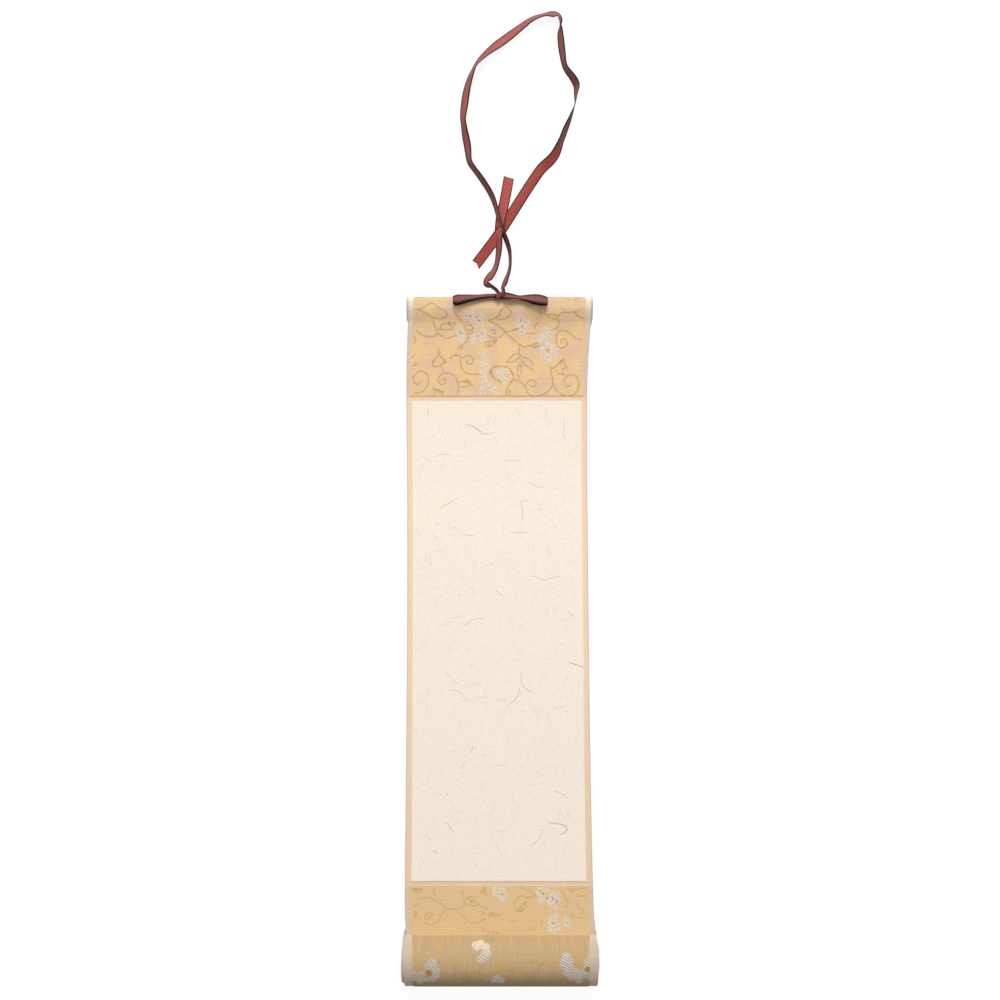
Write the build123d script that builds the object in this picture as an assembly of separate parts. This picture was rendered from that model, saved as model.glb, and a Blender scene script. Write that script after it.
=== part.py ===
from build123d import *
import math
import os

# A small hanging scroll, unrolled and lying face up. X runs across the sheet, Y up its
# length towards the top rod, Z away from the table. Millimetres throughout.

# Sheet and what is pasted on it
sheet_width = 108.0
backing_thickness = 0.35
brocade_thickness = 0.25
paper_thickness = 0.2
brocade_side_margin = 2.4
paper_side_margin = 3.2
top_brocade_length = 43.1
top_band = 3.0
paper_length = 280.0
bottom_band = 3.4
bottom_brocade_length = 24.7

# Rods in their pockets
top_rod_diameter = 11.0
top_pocket_reach = 10.0
top_neck_lift = 0.6
roller_diameter = 27.0
roller_pocket_reach = 14.3
roller_neck_lift = 3.1
rod_clearance = 0.05
rod_end_chamfer = 0.5
flap_overhang = 1.0
flap_lap = 2.0

# How the sheet lies between the two rods
top_neck_length = 10.8
top_neck_rise = 3.6
top_ramp_length = 29.7
flat_length = 65.0
bottom_neck_length = 11.9
bottom_neck_rise = 4.0

# Ribbon and its bow
ribbon_width = 6.3
ribbon_thickness = 0.5
cover_clearance = 0.1
bow_tilt = 20.0
loop_reach = 28.0
loop_height = 2.8
loop_root_height = 1.6
loop_root_low = 2.2
loop_root_high = 5.6
knot_width = 8.8
knot_low = 0.9
knot_length = 8.4
knot_height = 3.4
knot_depth = 2.8

# The ribbon's tails: each point gives the place across the sheet, the distance beyond the top
# rod's axis and the height over the table. The long tail leaves the knot, makes the loose
# hanging loop and ends on the table under itself.
long_tail_route = [
    (2.0, 9.6, 10.4),
    (2.0, 13.8, 10.4),
    (3.2, 21.0, 7.6),
    (5.9, 31.0, 3.6),
    (5.2, 46.0, 2.3),
    (-3.9, 65.0, 1.7),
    (-15.8, 87.0, 1.2),
    (-20.6, 102.0, 0.6),
    (-22.9, 121.5, 0.5),
    (-16.5, 146.0, 2.4),
    (-4.0, 161.5, 1.4),
    (11.5, 170.5, 0.6),
    (22.5, 178.0, 1.6),
    (32.8, 180.6, 2.4),
    (37.8, 171.6, 2.2),
    (37.4, 159.5, 1.8),
    (40.2, 147.5, 1.0),
    (46.6, 138.0, 0.8),
    (45.6, 126.5, 2.6),
    (41.8, 116.0, 2.2),
    (38.2, 103.0, 1.0),
    (32.0, 94.0, 0.5),
    (23.6, 85.5, 0.4),
    (14.0, 70.5, 0.3),
    (3.6, 54.5, 0.3),
    (-6.0, 39.8, 0.3),
    (-12.6, 30.8, 0.3),
]

# The short tail leaves the knot below the long one, doubles back and ends between its two strands.
short_tail_route = [
    (-2.2, 9.6, 8.2),
    (-2.2, 13.4, 8.2),
    (-5.8, 18.8, 5.6),
    (-6.0, 25.5, 3.1),
    (-1.4, 35.0, 1.7),
    (0.8, 51.5, 1.0),
    (2.2, 66.5, 0.95),
    (6.3, 79.8, 0.5),
]

# Sizes that follow from those above
wrap_thickness = backing_thickness + brocade_thickness
flap_width = sheet_width + 2 * flap_overhang
brocade_width = sheet_width - 2 * brocade_side_margin
paper_width = sheet_width - 2 * paper_side_margin
top_rod_radius = top_rod_diameter / 2
roller_radius = roller_diameter / 2
top_rod_height = top_rod_radius + wrap_thickness
roller_height = roller_radius + wrap_thickness
paper_start = top_brocade_length + top_band
paper_end = paper_start + paper_length
bottom_brocade_start = paper_end + bottom_band
sheet_length = bottom_brocade_start + bottom_brocade_length
bottom_ramp_length = (
    sheet_length - top_neck_length - top_ramp_length - flat_length - bottom_neck_length
)


def ramp_angle(length, rise):
    """The slope that an arc of this length reaches when it lifts off the table by rise."""
    angle = 2 * rise / length
    for _ in range(12):
        angle = rise / length * angle**2 / (1 - math.cos(angle))
    return angle


def neck_angle(length, rise, slope):
    """The slope that an arc ends with when it starts at slope and climbs by rise."""
    return 2 * math.asin(rise / length) - slope


top_slope = ramp_angle(top_ramp_length, top_rod_height + top_neck_lift - top_neck_rise)
top_neck_slope = neck_angle(top_neck_length, top_neck_rise, top_slope)
bottom_slope = ramp_angle(
    bottom_ramp_length, roller_height + roller_neck_lift - bottom_neck_rise
)
bottom_neck_slope = neck_angle(bottom_neck_length, bottom_neck_rise, bottom_slope)

# The side profile of the sheet's back, from the top neck to the bottom one: each stretch has
# a length and the slopes that it starts and ends with, and a positive slope climbs.
profile = [
    (top_neck_length, -top_neck_slope, -top_slope),
    (top_ramp_length, -top_slope, 0.0),
    (flat_length, 0.0, 0.0),
    (bottom_ramp_length, 0.0, bottom_slope),
    (bottom_neck_length, bottom_slope, bottom_neck_slope),
]


def travel(length, slope, bend, offset=0.0):
    """Y and Z covered along part of a stretch, for its back or a layer offset in front of it."""
    end = slope + bend * length
    shift_y = offset * (math.sin(end) - math.sin(slope))
    shift_z = offset * (math.cos(end) - math.cos(slope))
    if bend == 0:
        return -length * math.cos(slope), length * math.sin(slope)
    run = -(math.sin(end) - math.sin(slope)) / bend
    rise = (math.cos(slope) - math.cos(end)) / bend
    return run + shift_y, rise + shift_z


def profile_points(origin):
    """The start point of each stretch, and after them the end point of the last."""
    points = [origin]
    for length, start, end in profile:
        run, rise = travel(length, start, (end - start) / length)
        points.append((points[-1][0] + run, points[-1][1] + rise))
    return points


def neck_to_centre(neck, height, reach, side):
    """The centre of a rod whose pocket closes at neck; side is 1 above the sheet and -1 below."""
    drop = neck[1] - height
    return (neck[0] + side * math.sqrt(reach**2 - drop**2), height)


# The profile is laid out once from an unshifted start, and then moved so that the lowest
# stretch lies on the table and the middle of the scroll's length is at the origin.
draft = profile_points((0.0, 0.0))
draft = [(y, z - draft[2][1]) for y, z in draft]
draft_top = neck_to_centre(draft[0], top_rod_height, top_pocket_reach, 1)
draft_bottom = neck_to_centre(draft[-1], roller_height, roller_pocket_reach, -1)
middle = (draft_top[0] + top_rod_height + draft_bottom[0] - roller_height) / 2
knots = [(y - middle, z) for y, z in draft]
top_neck = knots[0]
bottom_neck = knots[-1]
top_rod_centre = (draft_top[0] - middle, draft_top[1])
roller_centre = (draft_bottom[0] - middle, draft_bottom[1])


def in_side_view(point):
    """A (Y, Z) pair as a point of the plane across the middle of the sheet."""
    return Vector(0, point[0], point[1])


def stretch_point(index, along, offset):
    """The point this far along a stretch, on the layer offset in front of the sheet's back."""
    length, start, end = profile[index]
    bend = (end - start) / length
    run, rise = travel(along, start, bend, offset)
    base = knots[index]
    return in_side_view(
        (
            base[0] + offset * math.sin(start) + run,
            base[1] + offset * math.cos(start) + rise,
        )
    )


def layer_edges(first, last, offset):
    """The edges that follow the sheet from first to last along its length."""
    edges = []
    done = 0.0
    for index, (length, start, end) in enumerate(profile):
        low = max(first - done, 0.0)
        high = min(last - done, length)
        done += length
        if high - low < 1e-6:
            continue
        a = stretch_point(index, low, offset)
        b = stretch_point(index, high, offset)
        if start == end:
            edges.append(Edge.make_line(a, b))
        else:
            middle_point = stretch_point(index, (low + high) / 2, offset)
            edges.append(Edge.make_three_point_arc(a, middle_point, b))
    return edges


def layer(first, last, back, front):
    """The section of a layer between two offsets, over part of the sheet's length."""
    outer = layer_edges(first, last, front)
    inner = layer_edges(first, last, back)
    ends = [
        Edge.make_line(outer[0] @ 0, inner[0] @ 0),
        Edge.make_line(outer[-1] @ 1, inner[-1] @ 1),
    ]
    return make_face(outer + inner + ends)


def tangents(centre, radius, neck):
    """Unit directions from a rod's centre to its neck and to its front and back tangent points."""
    away = (Vector(0, *neck) - Vector(0, *centre)).normalized()
    reach = (Vector(0, *neck) - Vector(0, *centre)).length
    opening = math.degrees(math.acos(radius / reach))
    turned = [away.rotate(Axis.X, opening), away.rotate(Axis.X, -opening)]
    turned.sort(key=lambda direction: -direction.Z)
    return away, turned[0], turned[1]


def pocket(centre, radius, neck, offset):
    """The section inside a pocket's wall: a rod's circle drawn out to the neck, grown by offset."""
    away, front, back = tangents(centre, radius, neck)
    middle_point = in_side_view(centre)
    tip = in_side_view(neck)
    grown = radius + offset
    round_part = Edge.make_three_point_arc(
        middle_point + front * grown,
        middle_point - away * grown,
        middle_point + back * grown,
    )
    front_side = Edge.make_line(tip + front * offset, middle_point + front * grown)
    back_side = Edge.make_line(middle_point + back * grown, tip + back * offset)
    edges = [front_side, round_part, back_side]
    if offset > 0:
        edges.append(
            Edge.make_three_point_arc(
                tip + back * offset, tip + away * offset, tip + front * offset
            )
        )
    return make_face(edges)


def wall(centre, radius, neck, inner, outer):
    """The section of one layer of a pocket's wall."""
    return pocket(centre, radius, neck, outer) - pocket(centre, radius, neck, inner)


def behind(centre, neck, size):
    """A region that holds the back half of a pocket, on the table side of its neck and centre."""
    away = (Vector(0, *neck) - Vector(0, *centre)).normalized()
    down = away.rotate(Axis.X, 90)
    if down.Z > 0:
        down = -down
    middle_point = in_side_view(centre)
    corners = [
        middle_point + away * size,
        middle_point - away * size,
        middle_point - away * size + down * size,
        middle_point + away * size + down * size,
    ]
    return make_face([Edge.make_line(corners[i - 1], corners[i]) for i in range(4)])


def across(section, width):
    """A section drawn out to the given width, half on each side of the middle."""
    return extrude(section, amount=width / 2, dir=(1, 0, 0), both=True)


pockets = [
    (top_rod_centre, top_rod_radius, top_neck, 0.0, flap_lap),
    (
        roller_centre,
        roller_radius,
        bottom_neck,
        sheet_length - flap_lap,
        sheet_length,
    ),
]

# Backing: one paper sheet that is folded round each rod and pasted behind itself. The folded
# flaps were cut a little wider than the sheet, so that they show at both sides.
sheet_section = layer(0.0, sheet_length, 0.0, backing_thickness)
backing_section = sheet_section
flap_sections = []
for centre, radius, neck, lap_start, lap_end in pockets:
    ring = wall(centre, radius, neck, 0.0, backing_thickness)
    lap = layer(lap_start, lap_end, -backing_thickness, 0.0)
    backing_section = backing_section + ring + lap
    flap_sections.append((ring & behind(centre, neck, 3 * radius)) + lap)
backing = across(backing_section, sheet_width)
for section in flap_sections:
    backing = backing + across(section, flap_width)

# Brocade: pasted on the front, and carried round each rod with the backing.
brocade_spans = [(0.0, top_brocade_length), (bottom_brocade_start, sheet_length)]
brocades = []
for (first, last), (centre, radius, neck, lap_start, lap_end) in zip(
    brocade_spans, pockets
):
    front = layer(first, last, backing_thickness, wrap_thickness)
    ring = wall(centre, radius, neck, backing_thickness, wrap_thickness)
    lap = layer(lap_start, lap_end, -wrap_thickness, -backing_thickness)
    brocades.append(
        across(
            front + ring + lap - backing_section - pocket(centre, radius, neck, 0.0),
            brocade_width,
        )
    )
top_brocade, bottom_brocade = brocades

# Paper: the blank panel, pasted on the backing between the two brocades.
paper = across(
    layer(paper_start, paper_end, backing_thickness, backing_thickness + paper_thickness),
    paper_width,
)


def rod(centre, radius):
    """A plain turned rod that fills its pocket from one end to the other."""
    body = Cylinder(radius - rod_clearance, flap_width, rotation=(0, 90, 0))
    body = chamfer(body.edges().filter_by(GeomType.CIRCLE), rod_end_chamfer)
    return Pos(0, centre[0], centre[1]) * body


top_rod = rod(top_rod_centre, top_rod_radius)
bottom_roller = rod(roller_centre, roller_radius)

# Bow: it leans on the far shoulder of the top rod, so its parts are drawn in a frame that
# touches the cover there and leans with it.
cover_radius = top_rod_height
lean = math.radians(bow_tilt)
touch = (
    top_rod_centre[0] + cover_radius * math.sin(lean),
    top_rod_centre[1] + cover_radius * math.cos(lean),
)
bow_frame = Plane(
    origin=(0, touch[0], touch[1]),
    x_dir=(1, 0, 0),
    z_dir=(0, math.sin(lean), math.cos(lean)),
)
cover = Pos(0, *top_rod_centre) * Cylinder(
    cover_radius + cover_clearance, 2 * loop_reach, rotation=(0, 90, 0)
)


def bow_loop():
    """The right-hand loop: a flattened band of ribbon, narrow at the knot and closed at its end."""
    root = knot_width / 2
    low = cover_clearance
    bend_x = loop_reach - loop_height / 2
    outline = make_face(
        [
            Edge.make_line((root, 0, low), (bend_x, 0, low)),
            Edge.make_three_point_arc(
                (bend_x, 0, low),
                (loop_reach, 0, low + loop_height / 2),
                (bend_x, 0, low + loop_height),
            ),
            Edge.make_line((bend_x, 0, low + loop_height), (root, 0, low + loop_root_height)),
            Edge.make_line((root, 0, low + loop_root_height), (root, 0, low)),
        ]
    )
    hollow = offset(outline, -ribbon_thickness, kind=Kind.INTERSECTION)
    half = 2 * ribbon_width
    band = extrude(outline - hollow, amount=half, dir=(0, 1, 0), both=True)
    plan = make_face(
        Polyline(
            (root, loop_root_low),
            (loop_reach - ribbon_width / 2, -ribbon_width / 2),
            (loop_reach, -ribbon_width / 2),
            (loop_reach, ribbon_width / 2),
            (loop_reach - ribbon_width / 2, ribbon_width / 2),
            (root, loop_root_high),
            close=True,
        ).edges()
    )
    return band & extrude(plan, amount=2 * loop_height)


loop = bow_loop()
bow_loop_right = bow_frame * loop
bow_loop_left = mirror(bow_loop_right, Plane.YZ)

# Knot: a block that sits over the rod's far shoulder, cut square where the tails leave it.
knot_middle = (0, knot_low + knot_length / 2, (knot_height - knot_depth) / 2)
knot_block = bow_frame * Pos(*knot_middle) * Box(
    knot_width, knot_length, knot_height + knot_depth
)
tail_face = top_rod_centre[0] + long_tail_route[0][1]
beyond_tails = Pos(0, tail_face + knot_length, cover_radius) * Box(
    2 * knot_width, 2 * knot_length, 4 * cover_radius
)
ribbon_knot = knot_block - beyond_tails - cover


def tail(name, route):
    """A flat band along a route of straight runs and tangent arcs, with its radii printed."""
    points = [Vector(x, top_rod_centre[0] + beyond, z) for x, beyond, z in route]
    radii = []
    for before, here, after in zip(points, points[1:], points[2:]):
        turn = math.radians((here - before).get_angle(after - here))
        shorter = min((here - before).length, (after - here).length)
        radii.append(0.45 * shorter / math.tan(turn / 2))
    path = FilletPolyline(*points, radius=radii)
    start = Plane(origin=points[0], x_dir=(1, 0, 0), z_dir=points[1] - points[0])
    section = start * Rectangle(ribbon_width, ribbon_thickness)
    band = sweep(section, path=path, binormal=Pos(0, 0, 2 * ribbon_width) * path)
    expected = path.length * ribbon_width * ribbon_thickness
    print(name, "radii", [round(radius, 1) for radius in radii])
    print(name, "length", round(path.length, 1), "volume share", round(band.volume / expected, 3))
    return band


nodes = {
    "backing": backing,
    "top_brocade": top_brocade,
    "bottom_brocade": bottom_brocade,
    "paper_panel": paper,
    "top_rod": top_rod,
    "bottom_roller": bottom_roller,
    "ribbon_knot": ribbon_knot,
    "bow_loop_left": bow_loop_left,
    "bow_loop_right": bow_loop_right,
    "ribbon_long_tail": tail("long tail", long_tail_route),
    "ribbon_short_tail": tail("short tail", short_tail_route),
}

os.makedirs("parts", exist_ok=True)
for name, shape in nodes.items():
    export_step(shape, f"parts/{name}.step")
print("top rod centre", [round(v, 2) for v in top_rod_centre])
print("roller centre", [round(v, 2) for v in roller_centre])
print("necks", [round(v, 2) for v in top_neck + bottom_neck])
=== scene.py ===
import math

import bpy
import numpy as np
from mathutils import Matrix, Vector


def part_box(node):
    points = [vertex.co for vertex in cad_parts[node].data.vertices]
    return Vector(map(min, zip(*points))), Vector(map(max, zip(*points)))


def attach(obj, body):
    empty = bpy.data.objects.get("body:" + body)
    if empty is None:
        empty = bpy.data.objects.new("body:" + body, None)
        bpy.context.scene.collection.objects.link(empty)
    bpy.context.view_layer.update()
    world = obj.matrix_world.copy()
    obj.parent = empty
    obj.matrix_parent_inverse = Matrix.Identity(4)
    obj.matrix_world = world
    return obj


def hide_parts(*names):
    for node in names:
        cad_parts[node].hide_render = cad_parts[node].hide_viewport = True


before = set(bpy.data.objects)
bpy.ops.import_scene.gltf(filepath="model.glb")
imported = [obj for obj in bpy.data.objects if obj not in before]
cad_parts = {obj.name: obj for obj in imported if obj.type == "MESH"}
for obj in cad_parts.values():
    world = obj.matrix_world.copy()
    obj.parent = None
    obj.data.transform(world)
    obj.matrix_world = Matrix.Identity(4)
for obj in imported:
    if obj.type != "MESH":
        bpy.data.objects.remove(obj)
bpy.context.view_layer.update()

mm = 0.001

# Camera: straight above the middle of the unrolled scroll, 45 cm away, leaning a degree
# towards the ribbon. Positions on the photograph are turned into places on the scroll with it.
picture_size = 1000
focal_pixels = 750.0
camera_lean = math.radians(1.216)
camera_place = Vector((0.15, 68.0, 449.9)) * mm
camera_data = bpy.data.cameras.new("camera")
camera_data.sensor_width = 36.0
camera_data.lens = camera_data.sensor_width * focal_pixels / picture_size


def in_scene(name, data):
    """A new object that carries this data, linked into the scene."""
    made = bpy.data.objects.new(name, data)
    bpy.context.scene.collection.objects.link(made)
    return made


camera = in_scene("camera", camera_data)
camera.location = camera_place
camera.rotation_euler = (camera_lean, 0.0, 0.0)
bpy.context.scene.camera = camera


def seen_at(y, z):
    """The picture row and the distance from the camera of a point across the middle."""
    beyond, below = y - camera_place.y, camera_place.z - z
    ahead = beyond * math.sin(camera_lean) + below * math.cos(camera_lean)
    up = beyond * math.cos(camera_lean) - below * math.sin(camera_lean)
    return picture_size / 2 - focal_pixels * up / ahead, ahead


def pixel_of(point):
    """Where a point of the scene shows on the picture."""
    row, distance = seen_at(point[1], point[2])
    return picture_size / 2 + focal_pixels * (point[0] - camera_place.x) / distance, row


# Ribbon: one length of 6.3 mm woven polyester ribbon, brick red with darker selvedges. It is
# tied in a bow on the top rod; its long tail makes the hanging loop and both ends are cut.
ribbon_width = 6.3 * mm
ribbon_cloth = 0.3 * mm
line_step = 1.0 * mm
cut_steps = 6
gather_steps = 9.0
search_steps = 60
cover_radius = 6.1 * mm


def rod_axis(node):
    """Where a rod's axis lies along the scroll and how high it is."""
    low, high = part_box(node)
    return (low[1] + high[1]) / 2, (low[2] + high[2]) / 2


rod_axis_y, rod_axis_z = rod_axis("top_rod")

# across, beyond the rod's axis, height, in mm
long_tail_route = [
    (1.2, 4.6, 14.2), (1.8, 6.6, 13.0), (1.5, 9.6, 10.6), (3.2, 15.0, 9.4), (5.6, 22.0, 7.4),
    (6.3, 29.0, 5.2), (5.7, 36.5, 3.8), (2.4, 45.0, 3.2), (-0.8, 54.6, 3.0), (-2.2, 61.0, 2.8),
    (-4.9, 69.0, 2.6), (-10.6, 78.2, 2.6), (-16.6, 86.0, 2.6), (-18.5, 89.6, 2.5),
    (-19.2, 97.9, 2.0), (-21.4, 108.1, 1.2), (-22.4, 115.5, 0.8), (-21.5, 123.5, 0.6),
    (-20.3, 132.7, 0.8), (-17.6, 141.9, 1.8), (-14.5, 148.8, 2.4), (-6.8, 157.2, 1.8),
    (6.0, 167.3, 1.0), (12.6, 172.2, 0.8), (19.4, 177.2, 1.0), (26.0, 179.3, 1.6),
    (31.8, 180.2, 2.2), (36.0, 178.6, 2.4), (36.3, 175.4, 2.4), (36.3, 169.6, 2.3),
    (37.1, 161.0, 2.2), (38.4, 152.2, 1.8), (39.5, 146.0, 1.4), (43.6, 141.0, 1.0),
    (46.8, 136.0, 1.1), (46.3, 130.6, 2.0), (45.5, 123.6, 2.6), (42.9, 116.1, 2.2),
    (38.7, 106.5, 1.2), (35.9, 98.6, 0.8), (32.2, 91.6, 0.5), (25.4, 86.2, 0.4),
    (21.6, 80.8, 0.3), (17.2, 74.2, 0.3), (8.1, 59.7, 0.3), (-0.5, 46.0, 0.3), (-7.4, 36.6, 0.3),
    (-14.3, 27.5, 0.3),
]
short_tail_route = [
    (-1.0, 4.4, 14.0), (-1.4, 6.7, 13.4), (-3.0, 8.8, 12.2), (-4.8, 10.8, 10.6),
    (-6.4, 12.5, 9.2), (-8.0, 13.9, 8.1), (-7.4, 15.8, 7.1), (-6.5, 17.5, 6.4), (-5.5, 19.3, 5.8),
    (-4.3, 21.2, 5.2), (-3.0, 23.6, 4.4), (-2.1, 26.6, 3.2), (-0.9, 31.6, 2.6), (-0.4, 39.0, 2.0),
    (-0.7, 46.5, 1.9), (0.2, 53.8, 1.8), (2.2, 62.5, 1.5), (4.0, 71.5, 1.0), (5.5, 80.5, 0.5),
]

# How the tails turn on their edge: a place on the picture, the turn seen there in degrees
# and how much painted sheen and shade the ribbon carries: up to 1 its colour turns mauve as
# painted sheen of the turned satin, above 1 it is darkened as painted shade. At a turn of 90
# only its edge shows.
long_tail_turns = [
    ((502, 293), 55, 1.8), ((503, 290), 84, 1.8), ((504, 286), 55, 1.0), ((505, 280), 61, 0.9),
    ((508, 272), 71, 0.9), ((510, 264), 75, 0.9), ((510, 260), 75, 1.0), ((509, 252), 70, 1.0),
    ((507, 242), 63, 0.8), ((500, 224), 68, 0.6), ((497, 210), 66, 0.6), ((492, 196), 59, 0.8),
    ((482, 180), 58, 0.8), ((476, 172), 60, 0.8), ((471, 165), 61, 0.9), ((469, 156), 54, 0.9),
    ((468, 148), 46, 0.8), ((466, 140), 45, 0.8), ((465, 132), 51, 0.8), ((463, 124), 60, 0.9),
    ((464, 116), 54, 0.6), ((465, 106), 45, 0.5), ((466, 97), 46, 0.6), ((469, 84), 56, 0.8),
    ((471, 76), 64, 1.0), ((475, 68), 78, 1.0), ((481, 60), 68, 0.9), ((488, 52), 58, 0.6),
    ((498, 44), 42, 0.5), ((509, 36), 44, 0.5), ((521, 28), 55, 0.6), ((531, 20), 66, 0.8),
    ((540, 16), 74, 1.0), ((546, 14), 76, 1.0), ((553, 13), 58, 1.0), ((559, 17), 66, 1.0),
    ((560, 22), 72, 1.0), ((560, 28), 110, 1.0), ((561, 34), 125, 0.9), ((561, 43), 131, 0.8),
    ((562, 52), 130, 0.9), ((564, 64), 120, 1.0), ((567, 70), 121, 0.9), ((571, 76), 127, 0.7),
    ((575, 82), 133, 0.6), ((576, 88), 130, 0.7), ((576, 94), 114, 0.9), ((576, 100), 99, 1.0),
    ((574, 106), 92, 1.0), ((572, 112), 79, 1.0), ((570, 118), 71, 1.0), ((567, 124), 64, 0.9),
    ((564, 132), 57, 0.8), ((560, 142), 58, 0.8), ((557, 148), 42, 0.5), ((554, 154), 30, 0.2),
    ((548, 162), 10, 0.1), ((540, 170), 2, 0.1), ((500, 234), 0, 0.1), ((478, 262), 0, 0.0),
]
short_tail_turns = [
    ((497, 292), 64, 1.6), ((493, 288), 70, 1.6), ((489, 285), 72, 1.4), ((487, 283), 50, 0.9),
    ((488, 281), 43, 0.7), ((490, 276), 45, 0.6), ((492, 273), 52, 0.6), ((495, 270), 59, 0.8),
    ((496, 265), 62, 0.8), ((498, 260), 64, 0.8), ((499, 252), 56, 0.8), ((499, 240), 50, 0.6),
    ((499, 230), 34, 0.5), ((502, 215), 14, 0.2), ((506, 196), 4, 0.0), ((509, 178), 0, 0.0),
]


def linear(code):
    """An sRGB hex colour as the linear colour that a shader takes."""
    parts = [int(code[i : i + 2], 16) / 255 for i in (1, 3, 5)]
    parts = [c / 12.92 if c <= 0.04045 else ((c + 0.055) / 1.055) ** 2.4 for c in parts]
    return (*parts, 1.0)


def add(tree, kind, inputs=None, **settings):
    """One node with its settings, fixed values and links.

    In its inputs a hex code stands for that colour and a node for its main output."""
    node = tree.nodes.new(kind if "Node" in kind else "ShaderNode" + kind)
    for name, value in settings.items():
        setattr(node, name, value)
    for key, value in (inputs or {}).items():
        if isinstance(value, str):
            value = linear(value)
        if isinstance(value, bpy.types.Node):
            value = value.outputs[2 if getattr(value, "data_type", "") == "RGBA" else 0]
        if isinstance(value, bpy.types.NodeSocket):
            tree.links.new(value, node.inputs[key])
        else:
            node.inputs[key].default_value = value
    return node


def new_material(name):
    """An empty node material and its tree."""
    material = bpy.data.materials.new(name)
    material.use_nodes = True
    tree = material.node_tree
    tree.nodes.clear()
    return material, tree


# Woven polyester ribbon: a tight plain weave with a soft satin gloss, darker and denser along
# both selvedges. Its cross threads are 0.25 mm apart and are drawn at 0.9 mm so that they show.
ribbon_material, tree = new_material("woven polyester ribbon")
ribbon_uv = add(tree, "UVMap", uv_map="cloth")
ribbon_axes = add(tree, "SeparateXYZ", {0: ribbon_uv})
from_middle = add(tree, "Math", {0: ribbon_axes.outputs[0]}, operation="ABSOLUTE")
# Painted sheen: as the sheen-shade number goes up to 1 the threads turn mauve, standing in for
# the satin's sheen where the ribbon turns on edge, and its dark selvedges widen.
painted_sheen_shade = add(tree, "Attribute", attribute_name="painted_sheen_shade")
painted_sheen_share = add(tree, "MapRange", {0: painted_sheen_shade.outputs["Fac"]})
painted_shade_share = add(tree, "MapRange", {0: painted_sheen_shade.outputs["Fac"], 1: 1.0, 2: 2.0})
toward_edge = add(tree, "Math", {0: painted_sheen_share, 1: 0.1, 2: from_middle}, operation="MULTIPLY_ADD")
selvedge = add(
    tree, "MapRange", {0: toward_edge, 1: 0.37, 2: 0.43}, interpolation_type="SMOOTHSTEP",
)
thread_grid = add(tree, "Mapping", {0: ribbon_uv, 3: (6.0, 11.0, 1.0)})
thread_speckle = add(
    tree, "TexVoronoi", {"Vector": thread_grid, "Scale": 1.0, "Randomness": 0.8},
    voronoi_dimensions="2D",
)
thread_slub = add(tree, "TexNoise", {"Vector": thread_grid, "Scale": 0.9, "Detail": 3.0})
thread_light = add(tree, "Mix", {0: painted_sheen_share, 6: "#B75245", 7: "#9C625B"}, data_type="RGBA")
thread_dark = add(tree, "Mix", {0: painted_sheen_share, 6: "#852F27", 7: "#6A3834"}, data_type="RGBA")
speckled = add(
    tree, "Mix", {0: thread_speckle.outputs["Distance"], 6: thread_light, 7: thread_dark},
    data_type="RGBA",
)
slubbed = add(
    tree, "Mix", {0: 0.45, 6: speckled, 7: thread_slub}, data_type="RGBA", blend_type="OVERLAY",
)
edged = add(tree, "Mix", {0: selvedge, 6: slubbed, 7: "#40201C"}, data_type="RGBA")
# Painted shade: as the sheen-shade number goes from 1 to 2 the colour is darkened.
ribbon_with_painted_shade = add(
    tree, "Mix", {0: painted_shade_share, 6: edged, 7: "#E6CFCF"}, data_type="RGBA",
    blend_type="MULTIPLY",
)
ribbon_bump = add(
    tree, "Bump",
    {"Height": thread_speckle.outputs["Distance"], "Strength": 0.35, "Distance": 0.0002},
)
ribbon_shader = add(
    tree, "BsdfPrincipled",
    {
        "Base Color": ribbon_with_painted_shade, "Roughness": 0.6, "Specular IOR Level": 0.2, "Sheen Weight": 0.05,
        "Sheen Roughness": 0.4, "Normal": ribbon_bump,
    },
)
add(tree, "OutputMaterial", {0: ribbon_shader})


def finished(name, verts, faces, material, uvs=None):
    """A mesh piece in its place, with its finish, riding on the scroll."""
    mesh = bpy.data.meshes.new(name)
    mesh.from_pydata([tuple(v) for v in verts], [], faces)
    mesh.materials.append(material)
    mesh.polygons.foreach_set("use_smooth", [True] * len(mesh.polygons))
    mesh.set_sharp_from_angle(angle=math.radians(40))
    if uvs is not None:
        layer = mesh.uv_layers.new(name="cloth")
        corners = np.empty(len(mesh.loops), dtype=np.int32)
        mesh.loops.foreach_get("vertex_index", corners)
        layer.data.foreach_set("uv", np.asarray(uvs, dtype=np.float32)[corners].ravel())
    mesh.update()
    piece = in_scene(name, mesh)
    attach(piece, "root")
    return piece


def closed_strip(front, back):
    """Vertices and faces of a thin closed strip between two grids of points."""
    verts = np.concatenate([front.reshape(-1, 3), back.reshape(-1, 3)])
    count = len(verts) // 2
    grid = np.arange(count).reshape(front.shape[:2])
    quads = np.stack([grid[:-1, :-1], grid[:-1, 1:], grid[1:, 1:], grid[1:, :-1]], axis=-1)
    quads = quads.reshape(-1, 4)
    faces = [quads, quads[:, ::-1] + count]
    for rim in (grid[::-1, 0], grid[:, -1], grid[0], grid[-1, ::-1]):
        faces.append(np.stack([rim[:-1], rim[:-1] + count, rim[1:] + count, rim[1:]], axis=-1))
    return verts, np.concatenate(faces).tolist()


def smooth_line(points, steps):
    """A line that passes smoothly through the given points."""
    points = np.asarray(points, dtype=float)
    ends = np.vstack([2 * points[0] - points[1], points, 2 * points[-1] - points[-2]])
    t = np.linspace(0, 1, steps, endpoint=False)[:, None]
    pieces = []
    for a, b, c, d in zip(ends, ends[1:], ends[2:], ends[3:]):
        curve = 2 * b + (c - a) * t + (2 * a - 5 * b + 4 * c - d) * t**2
        pieces.append(0.5 * (curve + (3 * b - a - 3 * c + d) * t**3))
    return np.vstack(pieces + [points[-1:]])


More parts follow.
